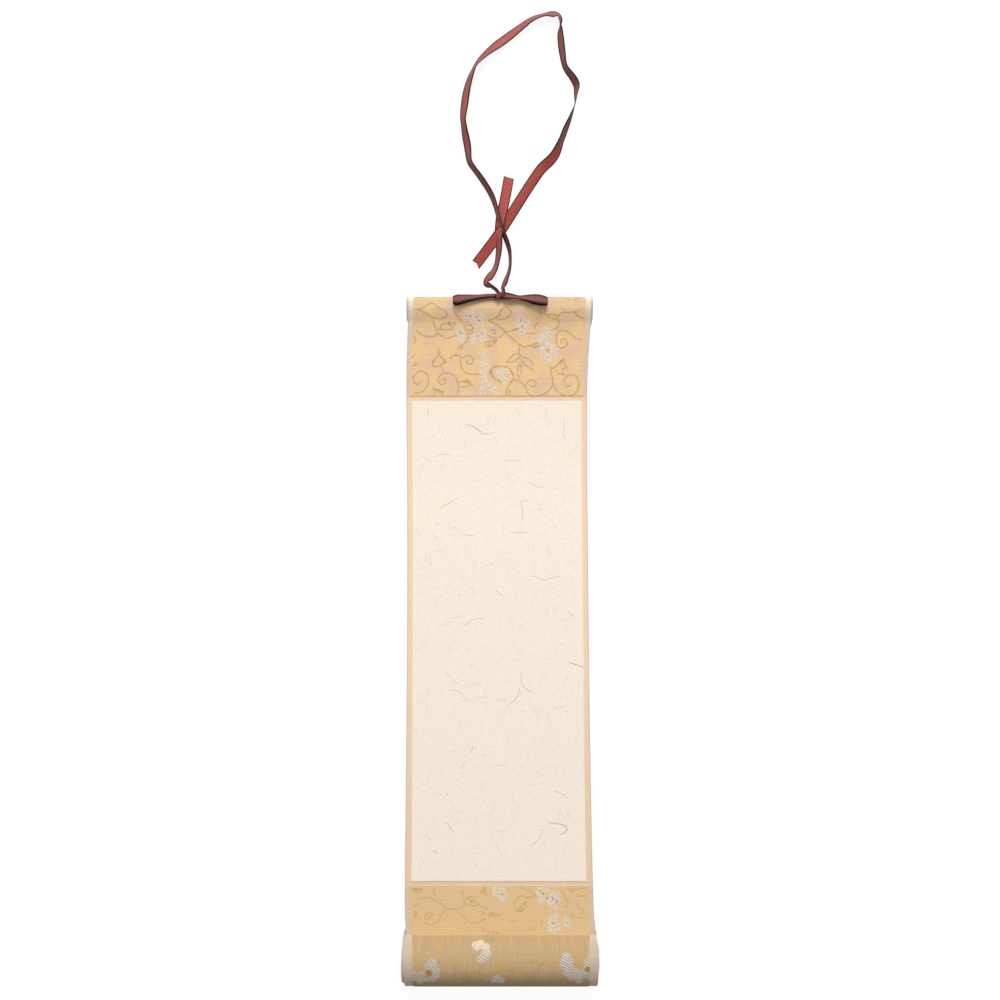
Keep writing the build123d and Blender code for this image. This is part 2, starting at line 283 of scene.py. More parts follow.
def distances(line):
    """How far along the line each of its points lies."""
    return np.concatenate([[0], np.cumsum(np.linalg.norm(np.diff(line, axis=0), axis=1))])


def evenly(line, step):
    """The same line with its points an even step apart."""
    along = distances(line)
    wanted = np.linspace(0, along[-1], max(3, round(along[-1] / step) + 1))
    return np.column_stack([np.interp(wanted, along, line[:, k]) for k in range(3)])


def unit(vectors):
    return vectors / np.linalg.norm(vectors, axis=-1, keepdims=True)


def soften(values, times):
    """Draws each value but the two at the ends towards its neighbours."""
    for _ in range(times):
        values[1:-1] = (values[:-2] + 2 * values[1:-1] + values[2:]) / 4


def mark_points(piece, name, values):
    """Gives each point of a piece a number, for its finish to read."""
    layer = piece.data.attributes.new(name, "FLOAT", "POINT")
    layer.data.foreach_set("value", np.asarray(values, dtype=np.float32))


def ribbon_piece(name, line, sides, widths, cup, sheen_shade, cut=(0.0, 0.0, 0.0), across=15):
    """A thin strip of ribbon along a line; sides point across it and cup curls it in mm.

    Its sheen-shade numbers give how much painted sheen and shade it carries along it: up to 1
    its colour turns mauve as painted sheen, above 1 it is darkened as painted shade. Cut gives
    how far its far end reaches at the left edge, the middle and the right edge."""
    tangents = unit(np.gradient(line, axis=0))
    sides = unit(sides - tangents * np.sum(sides * tangents, axis=1, keepdims=True))
    normals = np.cross(sides, tangents)
    u = np.linspace(-1, 1, across)
    half = np.asarray(widths)[:, None, None] / 2
    bend = (np.asarray(cup)[:, None] * (u**2)[None, :] * mm)[..., None]
    middle = line[:, None, :] + half * u[None, :, None] * sides[:, None, :]
    middle = middle + bend * normals[:, None, :]
    near_end = np.clip(1 - np.arange(len(line))[::-1] / cut_steps, 0, 1)
    reach = np.interp(u, (-1, 0, 1), cut)[None, :, None] * mm
    middle = middle + reach * (near_end**2)[:, None, None] * tangents[:, None, :]
    thick = np.full(across, ribbon_cloth / 2)
    thick[[0, -1]] *= 0.6
    lift = thick[None, :, None] * normals[:, None, :]
    verts, faces = closed_strip(middle - lift, middle + lift)
    uv = np.stack(np.meshgrid(u / 2, distances(line) / (10 * mm)), axis=-1).reshape(-1, 2)
    piece = finished(name, verts, faces, ribbon_material, np.vstack([uv, uv]))
    mark_points(piece, "painted_sheen_shade", np.tile(np.repeat(sheen_shade, across), 2))
    return piece


def hanging_line(name, route):
    """Points along the ribbon's route, read from one smooth curve."""
    curve = bpy.data.curves.new(name, "CURVE")
    curve.dimensions = "3D"
    curve.resolution_u = 24
    spline = curve.splines.new("NURBS")
    spline.points.add(len(route) - 1)
    for point, (x, beyond, z) in zip(spline.points, route):
        point.co = (x * mm, rod_axis_y + beyond * mm, z * mm, 1.0)
    spline.order_u = 3
    spline.use_endpoint_u = True
    guide = in_scene(name, curve)
    mesh = bpy.data.meshes.new_from_object(guide)
    line = np.array([v.co[:] for v in mesh.vertices])
    bpy.data.objects.remove(guide)
    bpy.data.curves.remove(curve)
    bpy.data.meshes.remove(mesh)
    return evenly(line, line_step)


def tail_piece(name, node, line, turns, cut):
    """A tail that turns on its edge at the places given, and rests on the table.

    Each place is looked for over the next 60 mm of its line, as the tail crosses itself."""
    seen = np.array([pixel_of(point) for point in line])
    marks = []
    start = 0
    for place, turn, sheen_shade in turns:
        distance = np.hypot(*(seen[start:] - place).T)
        start = start + int(np.argmin(distance[:search_steps]))
        marks.append((start, turn, sheen_shade))
    spots, angles, sheen_shades = zip(*marks)
    turn = np.interp(np.arange(len(line)), spots, np.radians(angles))
    sheen_shade = np.interp(np.arange(len(line)), spots, sheen_shades)
    tangents = unit(np.gradient(line, axis=0))
    level = unit(np.cross(tangents, np.array([0.0, 0.0, 1.0])))
    upward = np.cross(level, tangents)
    edge_on = unit(np.cross(tangents, np.array(camera_place) - line))
    turn -= np.arctan2(-np.sum(edge_on * upward, axis=1), np.sum(edge_on * level, axis=1))
    soften(turn, 3)
    line = line.copy()
    rest = np.abs(np.sin(turn)) * ribbon_width / 2 + ribbon_cloth
    line[:, 2] = np.maximum(line[:, 2], rest)
    soften(line[:, 2], 6)
    line[:, 2] = np.maximum(line[:, 2], rest)
    sides = np.cos(turn)[:, None] * level + np.sin(turn)[:, None] * upward

    # The ribbon curls a little to one face and the other, and is drawn together at the knot.
    steps = np.arange(len(line))
    gather = np.exp(-steps / gather_steps)
    cup = 0.25 * np.cos(turn) ** 2 * np.sin(steps * 0.09) - 0.1 - 0.8 * gather
    widths = ribbon_width * (1 - 0.5 * gather)
    piece = ribbon_piece(name, line, sides, widths, cup, sheen_shade, cut)
    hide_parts(node)


# Bow: two flattened loops of the same ribbon, gathered at the knot, leaning on the far
# shoulder of the rod. Each loop's under layer lies a little nearer the sheet.
bow_lean = math.radians(20)
bow_up = np.array([0.0, math.sin(bow_lean), math.cos(bow_lean)])
bow_back = np.array([0.0, math.cos(bow_lean), -math.sin(bow_lean)])
bow_right = np.array([1.0, 0.0, 0.0])
bow_touch = np.array([0.0, rod_axis_y, rod_axis_z]) + cover_radius * bow_up


def on_bow(points):
    """Points given across, up the sheet and off the rod, in mm, placed on the leaning bow."""
    points = np.asarray(points, dtype=float) * mm
    placed = points[:, :1] * bow_right + points[:, 1:2] * bow_back
    return bow_touch + placed + points[:, 2:] * bow_up


# across, up the sheet, off the rod, ribbon width there, curl across the ribbon
left_loop = [
    (-0.8, 2.2, 2.6, 2.8, -0.7), (-3.5, 2.2, 3.1, 2.9, -0.8), (-8.0, 1.9, 3.1, 2.8, -0.6),
    (-13.0, 1.3, 3.0, 3.0, -0.4), (-20.0, 0.5, 2.9, 4.6, -0.2), (-24.6, 0.0, 2.5, 5.8, 0.0),
    (-26.6, -0.1, 2.1, 5.2, 0.0), (-27.2, -0.3, 1.6, 4.2, 0.0), (-26.4, -0.5, 0.8, 5.2, 0.0),
    (-24.6, -0.3, 0.7, 5.8, 0.0), (-19.5, 0.8, 0.9, 4.5, 0.1), (-13.0, 1.6, 1.7, 2.9, 0.2),
    (-5.0, 2.2, 2.3, 2.6, 0.2), (-0.8, 2.2, 1.9, 2.4, 0.0),
]
right_loop = [
    (1.6, 1.9, 2.8, 3.0, -0.7), (4.0, 1.4, 3.2, 3.6, -0.8), (7.5, 0.9, 3.1, 3.1, -0.6),
    (11.5, 0.6, 2.9, 2.3, -0.3), (16.5, 0.2, 3.0, 4.2, -0.2), (21.5, -0.3, 3.0, 6.0, -0.1),
    (25.6, -0.8, 2.5, 6.0, 0.0), (27.3, -1.0, 2.1, 5.2, 0.0), (27.9, -1.1, 1.6, 4.4, 0.0),
    (27.2, -1.0, 0.8, 5.2, 0.0), (25.4, -0.6, 0.7, 5.8, 0.0), (20.5, 0.1, 0.7, 5.6, 0.0),
    (16.5, 0.8, 1.0, 4.0, 0.1), (11.0, 1.0, 2.0, 2.3, 0.2), (5.0, 1.3, 2.3, 2.8, 0.2),
    (1.6, 1.8, 1.9, 2.4, 0.0),
]


def bow_piece(name, marks):
    """A flattened ribbon loop through given marks."""
    line = smooth_line(marks, 14)
    sides = np.tile(bow_back, (len(line), 1))
    # The loops carry full painted shade, as they lean away from the lamp.
    sheen_shade = np.full(len(line), 2.0)
    return ribbon_piece(name, on_bow(line[:, :3]), sides, line[:, 3] * mm, line[:, 4], sheen_shade)


loop_left = bow_piece("bow_loop_left_cloth", left_loop)
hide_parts("bow_loop_left")
loop_right = bow_piece("bow_loop_right_cloth", right_loop)
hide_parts("bow_loop_right")

# Knot: the ribbon wrapped over the root of the loops and pulled tight, so that it bunches
# into three rounded folds. The tails leave it on the side away from the sheet.
# across, up the sheet, off the rod, reach up the sheet, height, width, lean in degrees
knot_turns = [
    (-0.6, 1.9, 2.5, 2.2, 1.8, 4.8, 6), (2.1, 2.2, 2.2, 2.0, 1.4, 2.4, -22),
    (0.2, 3.4, 2.0, 1.4, 1.6, 4.4, 0),
]
knot_steps = 48
knot_uv_step = 0.035
around = np.linspace(0, 2 * np.pi, knot_steps, endpoint=False)
outward = np.column_stack([np.zeros(knot_steps), np.cos(around), np.sin(around)])
u = np.linspace(-1, 1, 9)
fold = 0.35 * np.cos(u * 5.0) - 0.75 * u**2
fold_u = np.concatenate([u, u[::-1]]) / 2
knot_verts, knot_faces, knot_uv = [], [], []
for across, up_sheet, off_rod, reach, height, width, lean in knot_turns:
    tilt = math.tan(math.radians(lean))
    ring = np.column_stack(
        [
            across + tilt * reach * np.cos(around), up_sheet + reach * np.cos(around),
            off_rod + height * np.sin(around),
        ]
    )
    outer = ring[:, None, :] + outward[:, None, :] * fold[None, :, None]
    outer = outer + u[None, :, None] * np.array([width / 2, 0, 0])
    inner = outer - outward[:, None, :] * 0.5
    index = np.arange(fold_u.size * knot_steps).reshape(knot_steps, -1)
    index += len(knot_verts) * index.size
    beside = np.roll(index, -1, axis=1)
    quads = np.stack([index, np.roll(index, -1, axis=0), np.roll(beside, -1, axis=0), beside], -1)
    knot_verts.append(on_bow(np.concatenate([outer, inner[:, ::-1]], axis=1).reshape(-1, 3)))
    knot_faces += quads.reshape(-1, 4).tolist()
    knot_uv.append(
        np.column_stack(
            [
                np.tile(fold_u, knot_steps),
                np.repeat(np.arange(knot_steps) * knot_uv_step, len(fold_u)),
            ]
        )
    )
knot = finished(
    "ribbon_knot_cloth", np.vstack(knot_verts), knot_faces, ribbon_material,
    np.vstack(knot_uv),
)
# The knot carries full painted shade, like the loops.
mark_points(knot, "painted_sheen_shade", [2.0] * len(knot.data.vertices))
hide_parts("ribbon_knot")

tail_piece(
    "long_tail_cloth", "ribbon_long_tail", hanging_line("long_tail_line", long_tail_route),
    long_tail_turns, (0.9, -0.7, -0.3),
)
tail_piece(
    "short_tail_cloth", "ribbon_short_tail", hanging_line("short_tail_line", short_tail_route),
    short_tail_turns, (0.4, 0.1, -0.2),
)

# Backing: lining paper laminated behind the whole scroll, folded round each rod and pasted
# behind itself. It shows as the peach strips beside the panel and the pale margins.
sheet_width = 108.0
flap_width = 110.0
backing_thickness = 0.35
brocade_thickness = 0.25
paper_thickness = 0.2
wrap_thickness = backing_thickness + brocade_thickness
paper_width = 101.6
top_brocade_length = 43.1
top_band = 3.0
paper_length = 279.25
bottom_band = 3.2
bottom_brocade_length = 25.65
flap_lap = 2.0
top_rod_radius = 5.5
top_pocket_reach = 10.0
roller_radius = 13.5
roller_pocket_reach = 14.0
ring_steps = 90
paper_start = top_brocade_length + top_band
paper_end = paper_start + paper_length
bottom_brocade_start = paper_end + bottom_band
sheet_length = bottom_brocade_start + bottom_brocade_length

# The side view of the sheet's back from the top neck to the bottom one: where its slope
# changes, as the distance down the sheet and the slope there in degrees, climbing positive.
side_marks = [
    (0.0, -15.0), (5.0, -12.0), (10.8, -8.0), (40.5, -5.6), (105.5, 0.0),
    (sheet_length - 11.9, 7.8), (sheet_length, 8.2),
]
side_step = 0.5
side_along = np.append(np.arange(0, sheet_length, side_step), sheet_length)
side_slope = np.radians(np.interp(side_along, *zip(*side_marks)))
gaps = np.diff(side_along)
half_slope = (side_slope[1:] + side_slope[:-1]) / 2
side_y = np.concatenate([[0], np.cumsum(-np.cos(half_slope) * gaps)])
side_z = np.concatenate([[0], np.cumsum(np.sin(half_slope) * gaps)])
side_z -= side_z.min()

top_axis = [place / mm for place in rod_axis("top_rod")]
low_axis = [place / mm for place in rod_axis("bottom_roller")]


def neck_place(axis, height, reach, side):
    """Where a pocket closes when its neck stands at this height."""
    return axis[0] - side * math.sqrt(reach**2 - (height - axis[1]) ** 2)


top_neck = neck_place(top_axis, side_z[0], top_pocket_reach, 1)
low_neck = neck_place(low_axis, side_z[-1], roller_pocket_reach, -1)
side_y = top_neck + (side_y - side_y[0]) * (low_neck - top_neck) / (side_y[-1] - side_y[0])


def pocket_line(axis, radius, neck, slack):
    """The inside of a pocket from the back of its neck, round the rod, to the front of it.

    Slack gives how loosely the cloth lies, in mm, by the angle from straight up in degrees,
    positive away from the sheet."""
    axis, neck = np.array(axis), np.array(neck)
    away = unit(neck - axis)
    opening = math.acos(radius / np.linalg.norm(neck - axis))
    heading = math.atan2(away[1], away[0])
    back = min(heading + opening, heading - opening, key=math.sin)
    sense = -1 if away[0] > 0 else 1
    angles = back + sense * np.linspace(0, 2 * math.pi - 2 * opening, ring_steps)
    outward = np.column_stack([np.cos(angles), np.sin(angles)])
    from_top = np.degrees(np.arctan2(np.cos(angles), np.sin(angles))) * -np.sign(away[0])
    loose = np.interp(from_top, *zip(*slack), period=360)
    ring = axis + (radius + loose)[:, None] * outward
    along = np.gradient(ring, axis=0)
    normals = sense * np.column_stack([along[:, 1], -along[:, 0]])
    return ring, unit(normals)


def joined(first, second):
    """The direction in which a layer's thickness goes where two of its faces meet."""
    return (first + second) / (1 + float(np.dot(first, second)))


sheet_points = np.column_stack([side_y, side_z])
sheet_normals = np.column_stack([np.sin(side_slope), np.cos(side_slope)])
top_rod_slack = [
    (-180.0, 0.0), (-90.0, 0.0), (-40.0, 0.35), (-20.0, 0.2), (-10.0, 0.05), (0.0, 0.0),
    (10.0, 0.1), (20.0, 0.3), (30.0, 0.6), (40.0, 0.55), (60.0, 0.15), (75.0, 0.0), (175.0, 0.0),
]
roller_slack = [
    (-180.0, 0.0), (-72.0, 0.0), (-50.0, 0.8), (-20.0, 1.1), (10.0, 0.9), (45.0, 0.8),
    (65.0, 1.1), (100.0, 1.1), (140.0, 0.5), (175.0, 0.0),
]
top_ring, top_ring_normals = pocket_line(top_axis, top_rod_radius, sheet_points[0], top_rod_slack)
low_ring, low_ring_normals = pocket_line(low_axis, roller_radius, sheet_points[-1], roller_slack)
lap_steps = int(flap_lap / side_step)
leave = np.linspace(0, 1, 14)[1:-1]
chord = sheet_points[0] - top_ring[-1]
chord_up = unit(np.array([-chord[1], chord[0]]))
chord_up *= np.sign(chord_up[1])
bulge = 0.32 * np.sin(np.pi * leave) * (1 - leave)
leave_points = top_ring[-1] + leave[:, None] * chord + bulge[:, None] * chord_up
leave_normals = top_ring_normals[-1] + leave[:, None] * (sheet_normals[0] - top_ring_normals[-1])
front_normals = sheet_normals.copy()
front_normals[0] = joined(leave_normals[-1], sheet_normals[0])
front_normals[-1] = joined(sheet_normals[-1], low_ring_normals[-1])

# The whole way of the backing: the lap at the top, round the rod, down the front, round the
# roller and its lap.
walk = [
    (sheet_points[lap_steps:0:-1], -sheet_normals[lap_steps:0:-1]),
    (sheet_points[:1], [joined(-sheet_normals[0], top_ring_normals[0])]),
    (top_ring, top_ring_normals), (leave_points, unit(leave_normals)),
    (sheet_points, front_normals), (low_ring[::-1], low_ring_normals[::-1]),
    (sheet_points[-1:], [joined(-sheet_normals[-1], low_ring_normals[0])]),
    (sheet_points[-2 : -2 - lap_steps : -1], -sheet_normals[-2 : -2 - lap_steps : -1]),
]
walk_points, walk_normals = [np.vstack(part) for part in zip(*walk)]
walk_ends = np.cumsum([len(points) for points, normals in walk])
walk_along = distances(walk_points)
walk_along -= walk_along[walk_ends[3]]
top_far_along = walk_along[walk_ends[2] - ring_steps // 2]
low_far_along = walk_along[walk_ends[5] - ring_steps // 2]
walk_start, walk_end = walk_along[0], walk_along[-1]

# The sheet isn't quite straight: its middle stands up to 1.8 mm to the left of the rods.
# distance down the sheet from the top neck, shift of its middle
sheet_sway = [
    (-60.0, 0.0), (-8.0, 0.0), (6.0, -0.6), (22.0, -1.35), (36.0, -1.75), (60.0, -1.75),
    (115.0, -1.4), (175.0, -1.1), (240.0, -0.95), (320.0, -0.55), (345.0, -0.1), (360.0, 0.6),
    (460.0, 1.1),
]
sway_line = smooth_line(sheet_sway, 8)


def sway(along):
    return np.interp(along, sway_line[:, 0], sway_line[:, 1])


def on_front(flat, offset):
    """Flat positions, across and down the sheet, placed offset mm in front of its back."""
    across, along = flat[..., 0], flat[..., 1]
    y, z, facing_y, facing_z = [
        np.interp(along, walk_along, values) for values in (*walk_points.T, *walk_normals.T)
    ]
    places = [across + sway(along), y + offset * facing_y, z + offset * facing_z]
    return np.stack(places, axis=-1) * mm


def flat_grid(columns, along, half_width):
    """Flat positions over a layer, row by row, whose half width differs down the sheet."""
    across = np.linspace(-1, 1, columns)[None, ::-1] * half_width(along)[:, None]
    return np.stack([across, np.broadcast_to(along[:, None], across.shape)], axis=-1)


def sheet_piece(name, flat, low, high, material):
    """A layer of the scroll as a closed thin solid; its UV map is its flat size in 100 mm."""
    verts, faces = closed_strip(on_front(flat, high), on_front(flat, low))
    uv = flat.reshape(-1, 2) / 100
    return finished(name, verts, faces, material, np.vstack([uv, uv]))


def width_line(marks):
    """A width that changes evenly between marks, each a distance down the sheet and a width."""
    places, widths = zip(*marks)
    return lambda along: np.interp(along, places, widths)


narrow, wide = sheet_width / 2, flap_width / 2
backing_half = width_line(
    [
        (walk_start, narrow), (walk_start + 6, wide), (-1.5, wide - 0.2), (0.3, narrow),
        (sheet_length + 0.3, narrow), (sheet_length + 1.0, wide - 0.9),
        (sheet_length + 8.0, wide - 0.1), (sheet_length + 16.0, wide - 0.4),
        (sheet_length + 22.0, wide - 1.0), (walk_end - 10, wide - 1.0), (walk_end, narrow),
    ]
)

# Lining paper: thin absorbent paper, dyed peach on the front, with cloudy fibres and no gloss.
# It is greyer along its outer edges and darker round the roller, both painted shade, and cream
# beside the top rod. Faint painted shadow lines run along the cloth and panel edges on the
# strips between them.
lining_material, tree = new_material("peach lining paper")
sheet_uv = add(tree, "UVMap", uv_map="cloth")
sheet_axes = add(tree, "SeparateXYZ", {0: sheet_uv})
off_middle = add(tree, "Math", {0: sheet_axes.outputs[0]}, operation="ABSOLUTE")
# Painted shade: the outer edges of the lining are greyed.
painted_edge_shade = add(tree, "MapRange", {0: off_middle, 1: 0.533, 2: 0.539})
near_top, lining_roller_shade_share, strip_top, strip_low, lower_share, top_band_share, low_band_share = [
    add(tree, "MapRange", {0: sheet_axes.outputs[1], 1: none / 100, 2: whole / 100})
    for none, whole in (
        (10, 0),
        (sheet_length - 6, sheet_length + 6),
        (paper_start - 4, paper_start - 2.5),
        (paper_end + 4, paper_end + 2.5),
        (190, 310),
        (top_brocade_length, paper_start),
        (bottom_brocade_start, paper_end),
    )
]
strip_share = add(tree, "Math", {0: strip_top, 1: strip_low}, operation="MULTIPLY")
paper_cloud = add(
    tree, "TexNoise", {"Vector": sheet_uv, "Scale": 75.0, "Detail": 4.0, "Roughness": 0.65},
)
margin_top = add(tree, "Mix", {0: near_top, 6: "#E3C9B2", 7: "#E8D6C3"}, data_type="RGBA")
# Painted shade: the margins round the roller are darker.
margin_with_roller_shade = add(tree, "Mix", {0: lining_roller_shade_share, 6: margin_top, 7: "#CCB8A2"}, data_type="RGBA")
peach = add(tree, "Mix", {0: lower_share, 6: "#F7DABD", 7: "#F0D2B4"}, data_type="RGBA")
strip_colour = add(tree, "Mix", {0: strip_share, 6: margin_with_roller_shade, 7: peach}, data_type="RGBA")
with_edge_shadows = strip_colour
# Painted shadow: faint dark lines on the strips along the edges of the cloth and the panel.
for share, stops in (
    (top_band_share, ((0.03, "#EEE0DC"), (0.25, "#FAF2EC"), (0.6, "#FFFFFC"), (0.97, "#F4EEE8"))),
    (low_band_share, ((0.03, "#E6D6BE"), (0.14, "#FFFFFF"), (0.5, "#FFFFFF"), (0.9, "#F2EAE4"))),
):
    lines = add(tree, "ValToRGB", {0: share})
    lines.color_ramp.elements[0].color = (1.0, 1.0, 1.0, 1.0)
    for place, shade in stops:
        lines.color_ramp.elements.new(place).color = linear(shade)
    with_edge_shadows = add(
        tree, "Mix", {0: 1.0, 6: with_edge_shadows, 7: lines}, data_type="RGBA", blend_type="MULTIPLY",
    )
with_painted_edge_shade = add(tree, "Mix", {0: painted_edge_shade, 6: with_edge_shadows, 7: "#C6B7A8"}, data_type="RGBA")
cloud_tone = add(tree, "MapRange", {0: paper_cloud, 1: 0.25, 2: 0.75, 3: 0.91, 4: 1.09})
clouded = add(
    tree, "Mix", {0: 1.0, 6: with_painted_edge_shade, 7: cloud_tone}, data_type="RGBA", blend_type="MULTIPLY",
)
lining_bump = add(tree, "Bump", {"Height": paper_cloud, "Strength": 0.2, "Distance": 0.0002})
lining_shader = add(
    tree, "BsdfPrincipled",
    {"Base Color": clouded, "Roughness": 0.9, "Specular IOR Level": 0.2, "Normal": lining_bump},
)
add(tree, "OutputMaterial", {0: lining_shader})

backing_along = np.unique(
    np.concatenate(
        [
            walk_along[(walk_along <= 0) | (walk_along >= sheet_length)],
            np.arange(0, sheet_length, 2.0),
            [-1.5, 0.3, sheet_length + 0.3, sheet_length + 1.0, walk_start + 6, walk_end - 10],
        ]
    ).round(3)
)
backing = sheet_piece(
    "backing_sheet", flat_grid(41, backing_along, backing_half), 0.0, backing_thickness,
    lining_material,
)
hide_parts("backing")

